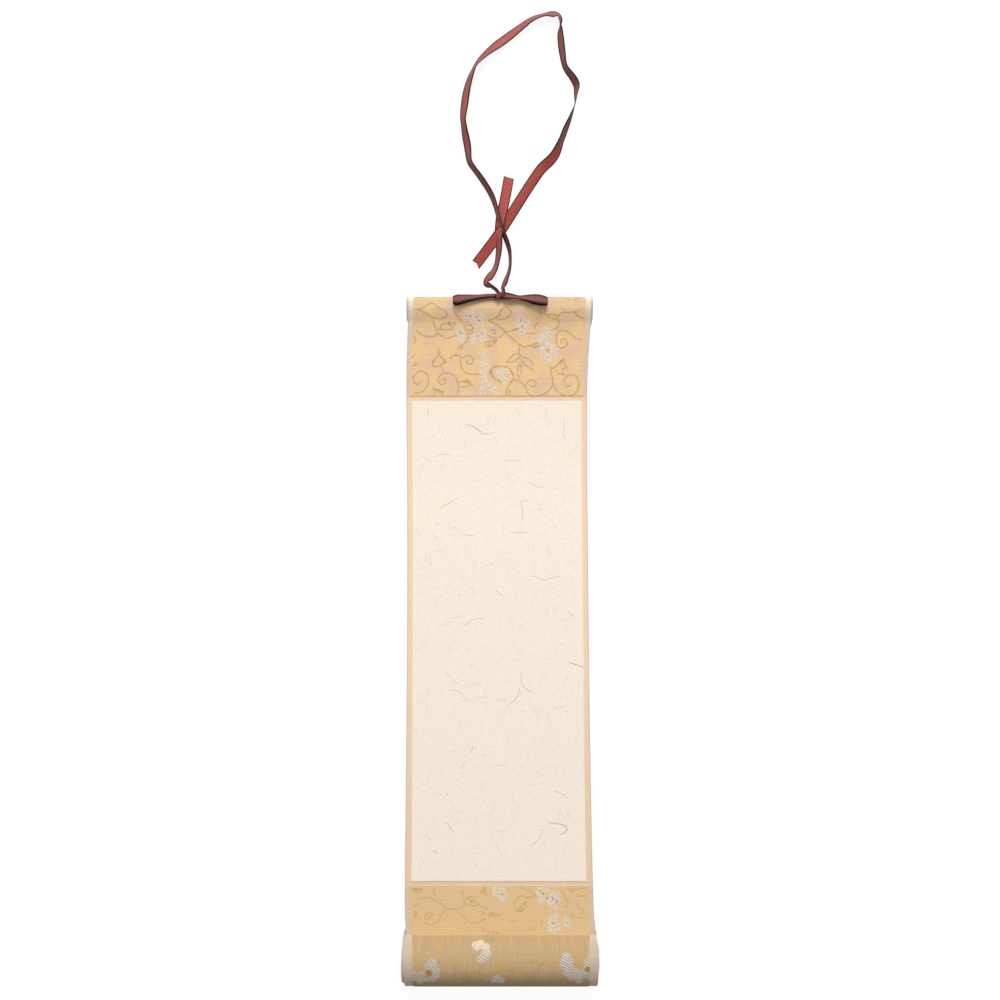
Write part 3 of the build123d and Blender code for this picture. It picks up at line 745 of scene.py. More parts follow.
# Brocade: silk-like figured cloth, a ribbed straw-gold ground with olive-gold vines and
# silver-lilac blossoms. It is pasted on the front and carried round both rods.
# Each stroke is the middle of a woven line, read off the photograph; widths are in mm.
vine_width = 0.62
top_vines = [
    [
        (501.4, 382.7), (498.4, 380.2), (495.2, 379), (491.8, 375.8), (490, 371.6), (492.2, 368),
        (497.8, 366.2), (504.4, 366.2), (509.6, 368.6), (512.8, 373), (513.6, 377.6),
        (511.4, 382),
    ],
    [(494.2, 377.4), (491.6, 373.2), (491.8, 370)], [(510.6, 370.6), (512.6, 375.2)],
    [
        (415.5, 309), (421.3, 308.4), (426.7, 304.6), (430.5, 303), (434.9, 304.2),
        (439.6, 308.3), (445, 310.3), (446.5, 313.7), (445.7, 317.1), (440.3, 318.6),
        (434.9, 317.8), (431.1, 316.1), (425.4, 313), (419.9, 310), (415.5, 309),
    ],
    [
        (432.1, 318.8), (434.9, 325.9), (437.6, 332.7), (441.6, 335.8), (447.1, 337.8),
        (452.5, 336.4), (456.6, 335.1),
    ],
    [
        (416.2, 330), (420.6, 333.7), (425.4, 336.1), (430.8, 336.8), (434.9, 335.4),
        (437.4, 332.6),
    ],
    [(437.6, 329.2), (443, 329.4), (448.4, 329.4), (453.2, 329.2)],
    [
        (441, 328.6), (440.6, 325.9), (443, 323.9), (447.1, 323.2), (449.4, 321.9),
        (449.2, 324.6), (451.1, 325.9), (453.5, 327.3),
    ],
    [(449.6, 325.2), (451.8, 323.2), (454.3, 322.4), (455.3, 323.9), (453, 325)],
    [
        (453.2, 308.3), (454.9, 312.4), (457.9, 316.4), (461.3, 320.5), (463.7, 323.2),
        (464.7, 327.3),
    ],
    [(461.3, 309), (457.6, 312.4)], [(464, 321.9), (468.8, 321.9)],
    [(466.1, 325.2), (470.1, 324.6), (472.8, 327.3), (471.8, 330), (468.1, 330), (464.7, 329)],
    [(466.1, 333.4), (470.1, 334.1), (473.5, 332)],
    [(468.1, 336.1), (467.6, 340), (464, 343.2), (461.2, 346)],
    [
        (500.5, 315), (494.6, 318.1), (489.1, 320.5), (494.6, 323.2), (499.5, 326.5),
        (504.8, 331), (510, 336.3), (515.3, 340.8), (519.8, 344.5), (523.5, 346.4), (528.8, 346),
        (534, 343.8), (537, 342.6),
    ],
    [
        (487.1, 334.1), (490.5, 336.8), (495.2, 337.5), (499.5, 337), (503.3, 334),
        (506.3, 331.8), (511, 330.8), (518.3, 328.8),
    ],
    [(489.8, 330.7), (493.2, 329.3), (495.6, 331.4), (494.6, 333.4), (491.8, 333)],
    [
        (485.1, 342.5), (491.8, 340.5), (496.6, 339.8), (493.9, 343.6), (490.5, 346.3),
        (486.4, 345.6), (485.1, 342.5),
    ],
    [(413.8, 336.1), (415.5, 338.8), (414.2, 342.9)],
    [
        (495, 317.9), (498.8, 315.3), (500.3, 310.8), (504, 307.8), (507, 307), (509.6, 310),
        (511.4, 312.3), (508.5, 316), (504.8, 319), (501, 319.4), (495.8, 318.6),
    ],
    [(531, 345.3), (534.8, 347.4), (540, 345.4)],
    [
        (538.1, 310), (540, 312.6), (543, 313.4), (545.6, 311.1), (544.5, 308.9), (541.5, 308.9),
        (541.1, 310.8),
    ],
    [
        (543.8, 315.3), (547.5, 314.5), (552.8, 314.1), (555.8, 314.9), (557.3, 316.8),
        (560.3, 313.8), (564, 312.3), (569.3, 312.1), (574.5, 311.7), (578.3, 310.8),
        (580.1, 309.6),
    ],
    [(574.5, 312.3), (577.5, 315.3), (581.3, 317.5), (584.3, 318.6)],
    [
        (547.5, 315.3), (549.8, 317.5), (553.5, 318.3), (557.3, 319.4), (559.1, 322),
        (558.8, 325), (556.5, 328), (552, 329.9),
    ],
    [
        (582, 339.6), (577.5, 338.9), (573.8, 336.6), (570, 333.3), (566.3, 331), (561.8, 330.6),
        (558.4, 332.1), (556.5, 335.5), (556.1, 340), (556.9, 344.5), (559.5, 347.1),
        (563.3, 347.5), (566.6, 345.3), (567.6, 342.3), (565.9, 339.6), (562.9, 338.9),
        (561, 340.8), (561.8, 343.8),
    ],
    [(539.3, 322.4), (536.6, 323.5), (534.8, 326.1), (535.3, 328.8)],
    [(525.8, 333.3), (531, 333.2), (537, 333.1)],
    [(519.4, 344.5), (519.4, 348.3), (519.3, 353.2)],
    [(438.9, 350.3), (440.3, 352), (438.9, 353.7), (437.5, 352), (438.9, 350.3)],
    [
        (439.1, 353.8), (437, 357), (434.9, 358.9), (432.8, 363.6), (434.2, 366.4), (438.9, 366),
        (443, 363.4), (446.4, 362.3), (443, 358.9), (440.3, 355.8), (439.1, 353.8),
    ],
    [(441.3, 365.2), (442.7, 369.7), (444, 372.8)],
    [
        (441.6, 380.6), (444, 378.6), (445.7, 380.6), (444, 384), (441, 384.3), (438.9, 382),
        (438.6, 378.6), (440.3, 375.2), (443.7, 373.5), (447.7, 372.8), (451.8, 373.8),
        (454.9, 376.5), (457.2, 380.6), (458.3, 385.3), (458.3, 390.8), (457.2, 394.8),
    ],
    [(458.6, 381.3), (463.3, 381.4), (470.8, 381.3)],
    [(458.6, 386.4), (463.3, 387), (468.8, 385.7), (473.5, 385.2)],
    [(466.1, 378.6), (468.6, 381), (471, 384.6)],
    [
        (449.4, 358.9), (451.8, 356.2), (455.9, 354.8), (459.3, 355.5), (462.7, 357.5),
        (465.4, 355.8), (468.8, 355.5), (471.8, 357.2), (473.2, 359.9), (471.8, 363),
        (468.8, 364.2), (466.7, 362.3), (467.8, 359.9),
    ],
    [
        (460.6, 357.9), (460.6, 362.3), (461.6, 367.7), (464, 371.1), (468.1, 373.5),
        (473.5, 374.4), (479.6, 374.4),
    ],
    [
        (413.8, 393.5), (418.6, 392.8), (423.3, 390.8), (426.7, 386.7), (428.7, 380.6),
        (427.7, 375.2), (424.7, 372.1), (420.6, 371.1), (416.2, 373.1), (413.5, 377.2),
        (414.5, 382), (417.2, 384.7), (420.3, 382),
    ],
    [(414.5, 354.8), (411.6, 358.2)], [(413.8, 362.3), (416.5, 364), (413.1, 365.7)],
    [(432.5, 386.7), (434.2, 389.4), (438.2, 389.4), (442.3, 392.1), (444, 390.1)],
    [
        (506.3, 395.5), (506.6, 389.5), (509.3, 385), (512.3, 380.1), (516, 380.1),
        (520.5, 381.3), (524.3, 385.8), (526.5, 389.5), (528, 393.4), (532.5, 395.7),
        (538.5, 395.7), (543.8, 394), (549, 390.3), (552.4, 385.8), (552.8, 380.5),
        (551.6, 374.5), (550.9, 369.3), (550.1, 366),
    ],
    [(509.6, 388.6), (510, 394.8)],
    [
        (525, 386.9), (527.3, 382.8), (530.3, 380.1), (534, 380.1), (535.9, 382.8),
        (534.8, 386.1), (531.8, 386.5), (529.9, 384.6),
    ],
    [
        (506.6, 362.1), (510, 358.8), (513.8, 354.6), (519, 353.5), (520.5, 355.8),
        (517.5, 358.8), (513.8, 361.4), (506.6, 362.1),
    ],
    [(520.9, 356.9), (526.5, 358), (531, 361), (532.9, 364.8)],
    [(521.3, 358.8), (523.5, 363.3), (528, 366.6), (533.3, 369.9)],
    [(519.8, 363.6), (517.9, 368.5), (517.5, 373.8), (519.8, 378.3)],
    [(520.9, 364), (521.6, 369.3), (520.9, 374.5)],
    [(551.6, 369.3), (556.5, 365.5), (561, 361), (564.8, 358.4)],
    [(562.5, 361.8), (567, 367.4), (563.3, 368.5), (562.1, 372.3), (564.4, 375.3)],
    [(556.1, 370), (558.8, 373.8), (564.8, 374.1)],
    [
        (552, 381.3), (555, 388), (558.8, 392.5), (564, 395.5), (570, 395.7), (575.3, 393.3),
        (578.3, 388), (578.6, 382), (576.8, 376.8), (573, 374.5), (568.5, 375.3), (565.1, 378.3),
        (564.4, 382), (567, 385.8), (570.4, 385), (571.5, 382),
    ],
]
bottom_vines = [
    [(411, 888.2), (414, 891), (417.9, 892.4), (421.5, 891), (424.3, 888.9)],
    [(412.5, 887.6), (417.5, 889.4), (422.5, 887.8)],
    [(432.5, 888.9), (434.3, 893.1), (435.7, 896.9)],
    [
        (418.5, 899), (421.4, 898.1), (425, 897.3), (430.7, 897.6), (434.3, 899.6),
        (439.3, 902.4), (443.6, 906), (447.9, 908.9), (452.9, 909.2), (457.9, 908.5),
        (462.9, 906.4), (463.8, 903.5),
    ],
    [
        (447.9, 908.9), (443.5, 911.2), (441.5, 914), (440.2, 917.5), (438.6, 921),
        (434.3, 923.5), (428.6, 924.6), (422.9, 922),
    ],
    [
        (424.3, 918.9), (425.7, 915.3), (429.3, 912.3), (432.1, 913.5), (430.7, 917),
        (427.1, 919.6), (424.3, 918.9),
    ],
    [(463.6, 889.2), (462.3, 893.1), (463.8, 897.6)],
    [
        (463.9, 899.2), (469.3, 899), (475, 901.4), (479.3, 904.2), (475, 905.4), (470, 905.4),
        (465, 903.5), (463.9, 899.2),
    ],
    [(466.4, 897.4), (471.4, 896.4), (477.9, 896.7)],
    [(480.7, 906.7), (485, 907.4), (487.1, 909.6)],
    [
        (460, 912.4), (462.9, 916), (467.1, 919.9), (472.1, 922.4), (477.9, 922.4),
        (482.9, 919.6), (486.4, 917.8),
    ],
    [(478.6, 911.7), (482.1, 911), (484, 913.5), (481, 915)], [(414.6, 903.5), (415.6, 907)],
    [(420, 905.5), (416.5, 903.5)],
    [(520.5, 887.2), (525.9, 889.5), (530.5, 891.4), (534.4, 894.5), (538.2, 897.2)],
    [
        (534.4, 895.3), (532, 896.6), (527.4, 897.4), (522, 895.7), (518.1, 898), (515.4, 901.5),
        (514.3, 905.3), (516.6, 910), (520.8, 911.2),
    ],
    [(527.4, 897.4), (525.9, 901.5), (525.5, 906.9), (521.2, 911)],
    [(559, 888.8), (561, 890.4), (563.7, 894.5), (566.8, 899.1), (568.3, 903.8), (565, 906.9)],
    [(578.3, 888.7), (583, 887.9), (587.2, 887.6)],
    [(577.6, 896.6), (582.2, 895.7), (586.8, 896.4)],
    [(577.6, 901.5), (578.3, 906.9), (579.9, 908.6), (583, 909.2), (582.6, 913), (578.3, 913.8)],
    [(574.5, 916.1), (578.3, 918.1), (583, 917.7)],
    [(508.9, 920.4), (513.5, 920), (516.6, 921.5)],
    [
        (452, 961.5), (452.9, 965.7), (457.1, 970), (462.9, 972.9), (469.3, 973.6),
        (475.7, 972.1), (481.4, 968.6), (484.3, 965),
    ],
    [
        (545, 961), (540.5, 964.7), (536.7, 970.9), (532.8, 976.3), (531.3, 979.4),
        (533.6, 981.3), (539.8, 983),
    ],
    [(531.3, 979), (525.9, 979.6), (514.3, 980.5), (505, 979.6)],
]

# Solid woven spots: a place on the photograph and a radius in mm.
gold_spots = [
    (460.4, 347.6, 1.5), (494, 342.2, 0.9), (489.5, 344.2, 0.9), (501.6, 310.2, 0.7),
    (514, 329.6, 0.75), (516.5, 329.2, 0.7), (535, 345.5, 0.8), (537.5, 344.2, 0.7),
    (563.3, 309.3, 0.6), (441.6, 357.4, 0.7), (444.3, 360.6, 0.8), (445.6, 362, 0.7),
    (455.4, 355.2, 0.8), (466, 382.4, 1.0), (469.4, 383.4, 0.9), (435.6, 390.4, 0.9),
    (438.6, 391.2, 1.0), (441.6, 392.6, 0.9), (434.4, 393.6, 0.7), (443, 393.8, 0.6),
    (562.6, 360.4, 0.9), (560.4, 363.2, 0.7), (449, 323.4, 0.8), (528, 306.4, 0.8),
    (531.5, 306, 0.7), (438.2, 348.3, 0.6), (417, 889.6, 0.9), (414, 889.2, 0.7),
    (420.4, 889.4, 0.7), (471.6, 901.8, 0.8), (474, 903.2, 0.6), (483.6, 890.3, 1.6),
    (485, 893.6, 0.9), (415.4, 912.8, 0.8), (415.4, 916, 0.8), (489.6, 914.6, 0.9),
    (492.9, 914.4, 1.3), (496.6, 914.6, 1.0), (500, 915.2, 0.7), (520.4, 909.4, 1.5),
    (524.4, 903.4, 0.9), (521.6, 906.4, 0.7), (569.6, 889.8, 0.7), (572.4, 890.4, 0.9),
    (575.2, 889.6, 0.7), (572.2, 913.6, 0.6), (572.6, 916.6, 0.6), (484, 930.2, 0.8),
    (488.6, 932, 0.9), (493, 932.6, 1.0), (497, 933.2, 0.9), (541.4, 922.4, 0.6),
    (530, 928.8, 0.7), (534, 929.3, 0.7), (438.6, 947.4, 1.7), (440.4, 951.6, 1.2),
    (436.4, 945.6, 1.0), (417.1, 965.7, 1.8), (414.3, 968.6, 1.2), (421.4, 969.6, 1.3),
    (462.1, 960.7, 0.7), (498.8, 964.6, 1.8), (499.4, 971, 1.9), (502.9, 968, 1.6),
    (496.8, 958.6, 0.8), (518.6, 971.4, 1.6), (520.8, 968, 1.2), (545.2, 960.6, 1.4),
    (549.4, 957.2, 1.2), (551.3, 965.3, 1.1), (556.7, 966.6, 0.9), (573.7, 952.4, 1.2),
    (578.3, 962, 1.7), (580.9, 967.4, 1.2), (576.4, 957, 0.8), (538.2, 940, 0.8),
    (525.9, 950, 0.7), (493, 946, 0.8), (486, 979.6, 1.2), (490.4, 980.6, 0.9), (545, 974, 0.9),
    (547.5, 350.5, 1.2),
]
dark_drops = [(428.6, 972.6, 1.5), (430.2, 974.4, 0.9), (587.6, 969.4, 1.3), (590, 969.6, 1.2)]
blossom_spots = [
    (467.4, 316.4, 1.9), (471.6, 318.4, 1.6), (474.9, 319.1, 2.3), (472.8, 313, 1.5),
    (468.6, 312.6, 1.0), (481.7, 317.1, 1.9), (480.3, 321.9, 1.8), (478.3, 327.3, 1.1),
    (482.3, 333.4, 2.2), (483, 338.1, 1.7), (478, 323.6, 1.3), (460, 332.7, 2.3),
    (461.3, 337.5, 2.1), (462.7, 341.6, 0.9), (474.9, 339.5, 2.1), (474.2, 343.4, 1.3),
    (474, 335, 1.0), (520.5, 319.8, 2.6), (525, 324.3, 2.6), (518.3, 324.3, 2.1),
    (522, 332.3, 1.8), (528, 322, 1.2), (521.6, 328.2, 1.6), (546, 329.5, 1.6),
    (543.8, 334.8, 2.3), (549.8, 334.8, 1.9), (539.3, 339.4, 1.5), (544.5, 340, 1.8),
    (547.5, 345.4, 2.3), (543, 349.8, 2.2), (552.8, 348.6, 2.4), (543.6, 354.4, 2.2),
    (553.3, 353.6, 2.3), (549, 357.6, 2.2), (547.6, 361.4, 0.7), (483, 352.6, 0.9),
    (483.4, 356.8, 1.5), (486.6, 359.8, 1.2), (482.6, 363.2, 1.5), (486, 368, 1.9),
    (483, 373, 1.8), (484.4, 378.6, 1.9), (485, 383.6, 1.9), (483, 389, 1.9), (482.6, 393.4, 1.6),
    (489.4, 385, 1.5), (493.2, 388.4, 1.4), (497, 392.6, 1.7), (499.6, 372.8, 2.3),
    (505.4, 373.2, 2.2), (502.4, 377, 1.9), (505.4, 380.6, 1.4), (504.6, 384, 0.8),
    (501.2, 891.6, 2.5), (502.7, 896.1, 2.2), (496.4, 891.6, 2.2), (501.2, 899.4, 1.3),
    (495, 889.4, 1.2), (541.3, 890.9, 2.0), (541.3, 897.3, 2.2), (541.3, 901.6, 1.3),
    (545.9, 889.4, 1.5), (537.6, 893, 1.1), (552.1, 896.1, 2.2), (556.7, 899.1, 2.0),
    (552.1, 902.2, 2.3), (549, 899.1, 1.7), (554.4, 906.1, 1.4), (557.6, 895, 1.0),
    (556, 915.4, 1.1), (552.9, 919.2, 2.0), (552.1, 923.8, 2.5), (556.7, 926.9, 2.3),
    (550.6, 929, 1.7), (555.2, 931.2, 1.4), (567.1, 921.2, 1.7), (567.1, 923.8, 1.7),
    (475.7, 945.2, 1.7), (480.7, 944.2, 2.0), (485.7, 947.9, 2.0), (487.1, 952.9, 1.8),
    (484.3, 956.4, 2.0), (480.7, 959.3, 1.6), (477, 948.4, 1.0), (430.7, 963.8, 1.8),
    (433.4, 962.4, 1.4), (427.6, 966.6, 1.4), (435.7, 969.6, 2.0), (436.4, 974.9, 1.8),
    (433, 978.6, 1.8), (412.1, 972.6, 1.8), (412.1, 978, 2.0), (418.6, 978, 2.2),
    (421.4, 974, 1.7), (420, 981.4, 1.7), (411.4, 965, 1.1), (426, 980, 1.4), (496.8, 979, 2.2),
    (500.4, 980.4, 2.0), (493, 981, 1.4), (566.4, 958.2, 2.1), (563.9, 963, 2.0),
    (568.3, 962.6, 2.3), (565.6, 967.4, 1.8), (569.3, 968.4, 2.5), (567.7, 973.4, 2.1),
    (572.2, 976.7, 2.4), (578.3, 977.4, 2.6), (576.8, 972.8, 2.0), (581.4, 973.6, 1.8),
    (579.1, 981.3, 1.7), (590.4, 960.3, 1.6), (587.8, 963.4, 1.8), (585.8, 965.6, 1.0),
    (586, 975, 1.3), (588.6, 974.8, 1.8), (590, 977.4, 1.5),
]
blossom_eyes = [
    (466.4, 315.4, 0.35), (470.6, 316.2, 0.4), (476.2, 317.4, 0.4), (479, 320.6, 0.35),
    (459.6, 331.6, 0.35), (461.6, 333.6, 0.35), (477.4, 336.9, 0.35), (482, 333.6, 0.4),
    (520.9, 320.9, 0.4), (522.8, 325.8, 0.45), (522, 331.8, 0.35), (501.9, 894.1, 0.5),
    (542.8, 893.7, 0.5), (552.5, 898.4, 0.5), (556.7, 901.5, 0.5), (547.3, 898, 0.5),
    (540, 891, 0.35), (553.6, 923.1, 0.5), (567, 922.6, 0.35),
]

front_face = (walk_points + wrap_thickness * walk_normals) * mm
front_rows, front_depths = np.array([seen_at(y, z) for y, z in front_face]).T
seen_part = slice(int(np.argmin(front_rows)), int(np.argmax(front_rows)) + 1)


def on_sheet(places):
    """Places on the photograph as flat positions, across and down the sheet, in mm."""
    places = np.asarray(places, dtype=float)
    along = np.interp(places[:, 1], front_rows[seen_part], walk_along[seen_part])
    depth = np.interp(along, walk_along, front_depths)
    across = (places[:, 0] - picture_size / 2) * depth / focal_pixels + camera_place.x
    return np.column_stack([across / mm - sway(along), along])


def nearest(points, strokes, reach=2.5):
    """How far each point is outside the nearest of a set of round-ended strokes, in mm."""
    found = np.full(len(points), reach)
    for stroke in strokes:
        a, b, (ra, rb) = stroke[:2], stroke[2:4], stroke[4:]
        low = np.minimum(a, b) - max(ra, rb) - reach
        high = np.maximum(a, b) + max(ra, rb) + reach
        close = np.nonzero(np.all((points > low) & (points < high), axis=1))[0]
        step = b - a
        size = float(step @ step)
        share = np.zeros(len(close))
        if size > 0:
            share = np.clip((points[close] - a) @ step / size, 0, 1)
        gap = np.linalg.norm(points[close] - a - share[:, None] * step, axis=1)
        found[close] = np.minimum(found[close], gap - (ra + (rb - ra) * share))
    return found


def woven_lines(lines):
    """Short straight strokes that follow lines smoothly: two ends and two half widths each."""
    strokes = []
    for number, line in enumerate(lines):
        line = smooth_line(on_sheet(line), 4)
        place = np.arange(len(line))
        swell = 0.5 + 0.08 * np.sin(place * 0.9 + number)
        taper = np.minimum(1, 0.7 + 0.15 * np.minimum(place, place[::-1]))
        half = vine_width * swell * taper
        strokes.append(np.column_stack([line[:-1], line[1:], half[:-1], half[1:]]))
    return np.vstack(strokes)


def woven_spots(spots):
    """Round spots as strokes that end where they start."""
    spots = np.array(spots)
    middle = on_sheet(spots[:, :2])
    return np.column_stack([middle, middle, spots[:, 2], spots[:, 2]])


# Figured brocade: the ground is a ribbed plain weave of straw-coloured yarn with a dull
# gloss; the figures float on it in flat gold and silver-lilac yarn. Ribs are 0.8 mm apart,
# and the finer warp, about 0.2 mm, is drawn at 0.9 mm so that it shows.
brocade_material, tree = new_material("figured brocade")
cloth_uv = add(tree, "UVMap", uv_map="cloth")
cloth_mm = add(tree, "Mapping", {0: cloth_uv, 3: (100.0, 100.0, 1.0)})
down_cloth = add(tree, "SeparateXYZ", {0: cloth_mm}).outputs[1]
bars = []
for stretch in ((0.045, 1.25, 1.0), (1.1, 0.06, 1.0)):
    stretched = add(tree, "Mapping", {0: cloth_mm, 3: stretch})
    pattern = add(
        tree, "TexNoise", {"Vector": stretched, "Scale": 1.0, "Detail": 2.0, "Roughness": 0.7},
        noise_dimensions="2D",
    )
    bars.append(pattern)
weft_bars, warp_bars = bars
rib_wave = add(
    tree, "TexWave",
    {"Vector": cloth_mm, "Scale": 0.4, "Distortion": 0.6, "Detail": 2.0, "Detail Scale": 0.6},
    bands_direction="Y",
)
cloth_patches = add(
    tree, "TexNoise", {"Vector": cloth_mm, "Scale": 0.09, "Detail": 3.0}, noise_dimensions="2D",
)
yarn_grain = add(
    tree, "TexNoise", {"Vector": cloth_mm, "Scale": 1.6, "Detail": 2.0}, noise_dimensions="2D",
)

# Painted shade darkens the cloth round both rods: over the top rod's far shoulder, and over the
# roller, lightest over its top and darkest on its far side. Its warp shows more on the roller.
is_low_end = add(tree, "Math", {0: down_cloth, 1: 200.0}, operation="GREATER_THAN")
painted_top_rod_shade = add(tree, "MapRange", {0: down_cloth, 1: -8.0, 2: -14.7, 3: 1.0, 4: 0.68})
painted_roller_shade = add(
    tree, "MapRange",
    {0: down_cloth, 1: sheet_length - 0.3, 2: sheet_length + 0.5, 3: 1.0, 4: 0.63},
)
painted_far_side_shade = add(
    tree, "MapRange",
    {0: down_cloth, 1: sheet_length + 18.0, 2: sheet_length + 31.0, 3: 1.09, 4: 0.6},
)
painted_near_side_shade = add(
    tree, "MapRange",
    {0: down_cloth, 1: sheet_length + 8.0, 2: sheet_length + 17.0, 3: 0.89, 4: 1.0},
)
painted_roller_sides_shade = add(tree, "Math", {0: painted_far_side_shade, 1: painted_near_side_shade}, operation="MULTIPLY")
roller_zone = add(tree, "MapRange", {0: painted_roller_shade, 1: 1.0, 2: 0.63, 3: 1.0, 4: 0.0})
painted_rod_side_shade = add(tree, "Mix", {0: roller_zone, 2: painted_roller_sides_shade, 3: painted_top_rod_shade})
painted_rod_shade = add(tree, "Math", {0: painted_rod_side_shade, 1: painted_roller_shade}, operation="MULTIPLY")
warp_share = add(tree, "MapRange", {0: painted_roller_shade, 1: 1.0, 2: 0.63, 3: 0.12, 4: 0.38})
patch_share = add(tree, "MapRange", {0: cloth_patches, 1: 0.35, 2: 0.65})
ground = add(tree, "Mix", {0: patch_share, 6: "#F2CD95", 7: "#EAC4A0"}, data_type="RGBA")
ground_low = add(tree, "Mix", {0: is_low_end, 6: ground, 7: "#EAC691"}, data_type="RGBA")
weave = None
for pattern, strength in (
    (weft_bars, 0.16),
    (warp_bars, warp_share),
    (rib_wave, 0.05),
    (yarn_grain, 0.3),
):
    swing = add(tree, "MapRange", {0: pattern.outputs["Fac"], 3: -0.5, 4: 0.5})
    weave = add(tree, "Math", {0: swing, 1: strength, 2: weave or 1.0}, operation="MULTIPLY_ADD")
grained = add(
    tree, "Mix", {0: 1.0, 6: ground_low, 7: weave}, data_type="RGBA", blend_type="MULTIPLY",
)
ragged = add(tree, "MapRange", {0: yarn_grain, 1: 0.25, 2: 0.75, 3: -0.3, 4: 0.3})
shares = {}
for figure, soft, grow in (
    ("vine", 0.28, 0.04),
    ("gold", 0.4, 0.1),
    ("drop", 0.25, 0.05),
    ("blossom", 0.65, 0.35),
    ("eye", 0.25, 0.05),
):
    reading = add(tree, "Attribute", attribute_name=figure)
    uneven = add(tree, "Math", {0: reading.outputs["Fac"], 1: ragged}, operation="ADD")
    shares[figure] = add(
        tree, "MapRange", {0: uneven, 1: grow + soft, 2: grow - soft},
        interpolation_type="SMOOTHSTEP",
    )
float_lean = add(tree, "Mapping", {0: cloth_mm, 2: (0.0, 0.0, 0.8), 3: (0.7, 1.5, 1.0)})
float_noise = add(
    tree, "TexNoise", {"Vector": float_lean, "Scale": 1.0, "Detail": 2.0, "Roughness": 0.6},
    noise_dimensions="2D",
)
silver_float = add(tree, "MapRange", {0: float_noise, 1: 0.35, 2: 0.65})
silver_hue = add(tree, "Mix", {0: patch_share, 6: "#F8E7CB", 7: "#F8E2D3"}, data_type="RGBA")
silver_flat = add(tree, "Mix", {0: silver_float, 6: "#D6BD9E", 7: silver_hue}, data_type="RGBA")
twill_lean = add(tree, "Mapping", {0: cloth_mm, 2: (0.0, 0.0, -0.45)})
twill = add(
    tree, "TexWave",
    {"Vector": twill_lean, "Scale": 0.26, "Distortion": 2.6, "Detail": 2.0, "Detail Scale": 1.2},
    bands_direction="Y",
)
silver_twill = add(
    tree, "Mix", {0: twill.outputs[1], 6: "#8C877C", 7: "#DFD4C6"}, data_type="RGBA",
)
twill_share = add(
    tree, "MapRange", {0: down_cloth, 1: sheet_length + 3.0, 2: sheet_length + 12.0, 4: 0.85},
)
silver = add(tree, "Mix", {0: twill_share, 6: silver_flat, 7: silver_twill}, data_type="RGBA")
gold = add(tree, "Mix", {0: yarn_grain, 6: "#C89B58", 7: "#EFCB8C"}, data_type="RGBA")
# The ground takes this painted shade in full and the gold in part.
cloth_with_painted_shade = add(
    tree, "Mix", {0: 1.0, 6: grained, 7: painted_rod_shade}, data_type="RGBA", blend_type="MULTIPLY",
)
gold_with_painted_shade = add(
    tree, "Mix", {0: 0.6, 6: gold, 7: painted_rod_shade}, data_type="RGBA", blend_type="MULTIPLY",
)
vine_yarn = add(tree, "Mix", {0: is_low_end, 6: "#AE8142", 7: "#B58B4A"}, data_type="RGBA")
vine_broken = add(tree, "MapRange", {0: yarn_grain, 1: 0.35, 2: 0.6, 3: 0.45, 4: 1.0})
vine_faint = add(tree, "MapRange", {0: is_low_end, 3: 0.85, 4: 0.5})
vine_depth = add(tree, "Math", {0: vine_broken, 1: vine_faint}, operation="MULTIPLY")
vine_share = add(tree, "Math", {0: shares["vine"], 1: vine_depth}, operation="MULTIPLY")
figured = cloth_with_painted_shade
for share, yarn in (
    (shares["blossom"], silver),
    (shares["eye"], "#A58F6C"),
    (shares["gold"], gold_with_painted_shade),
    (vine_share, vine_yarn),
    (shares["drop"], "#A88748"),
):
    figured = add(tree, "Mix", {0: share, 6: figured, 7: yarn}, data_type="RGBA")
raised = add(
    tree, "Math", {0: shares["blossom"], 1: 0.6, 2: shares["vine"]}, operation="MULTIPLY_ADD",
)
relief = add(tree, "Math", {0: rib_wave.outputs[1], 1: 0.35, 2: raised}, operation="MULTIPLY_ADD")
relief_grain = add(tree, "Math", {0: weft_bars, 1: 0.6, 2: relief}, operation="MULTIPLY_ADD")
brocade_bump = add(tree, "Bump", {"Height": relief_grain, "Strength": 0.35, "Distance": 0.00015})
brocade_shader = add(
    tree, "BsdfPrincipled",
    {
        "Base Color": figured, "Roughness": 0.62, "Specular IOR Level": 0.3, "Sheen Weight": 0.12,
        "Sheen Roughness": 0.5, "Normal": brocade_bump,
    },
)
add(tree, "OutputMaterial", {0: brocade_shader})

brocade_columns = 297

# distance down the sheet, half width of the cloth
top_widths = [(-60.0, 50.5), (-9.0, 50.6), (0.0, 51.0), (12.0, 51.8), (60.0, 52.0)]
low_widths = [(330.0, 51.6), (348.0, 51.3), (356.0, 50.2), (364.0, 49.2), (470.0, 49.0)]


def brocade_rows(first, last, seen_first, seen_last, fine_step=0.35, least_step=0.12):
    """Rows close together where the figures show and twice as far apart behind the rods."""
    fine = np.arange(seen_first, seen_last, fine_step)
    before = np.arange(first, seen_first, 2 * fine_step)
    after = np.arange(seen_last, last, 2 * fine_step)
    edge = walk_along[(walk_along >= first) & (walk_along <= last)]
    rows = np.concatenate([before, fine, after, [first, last], edge])
    rows = np.unique(rows.round(3))
    apart = np.concatenate([[True], np.diff(rows) > least_step])
    apart[-1] = True
    return rows[apart]


figures = {
    "vine": woven_lines(top_vines + bottom_vines), "gold": woven_spots(gold_spots),
    "drop": woven_spots(dark_drops), "blossom": woven_spots(blossom_spots),
    "eye": woven_spots(blossom_eyes),
}


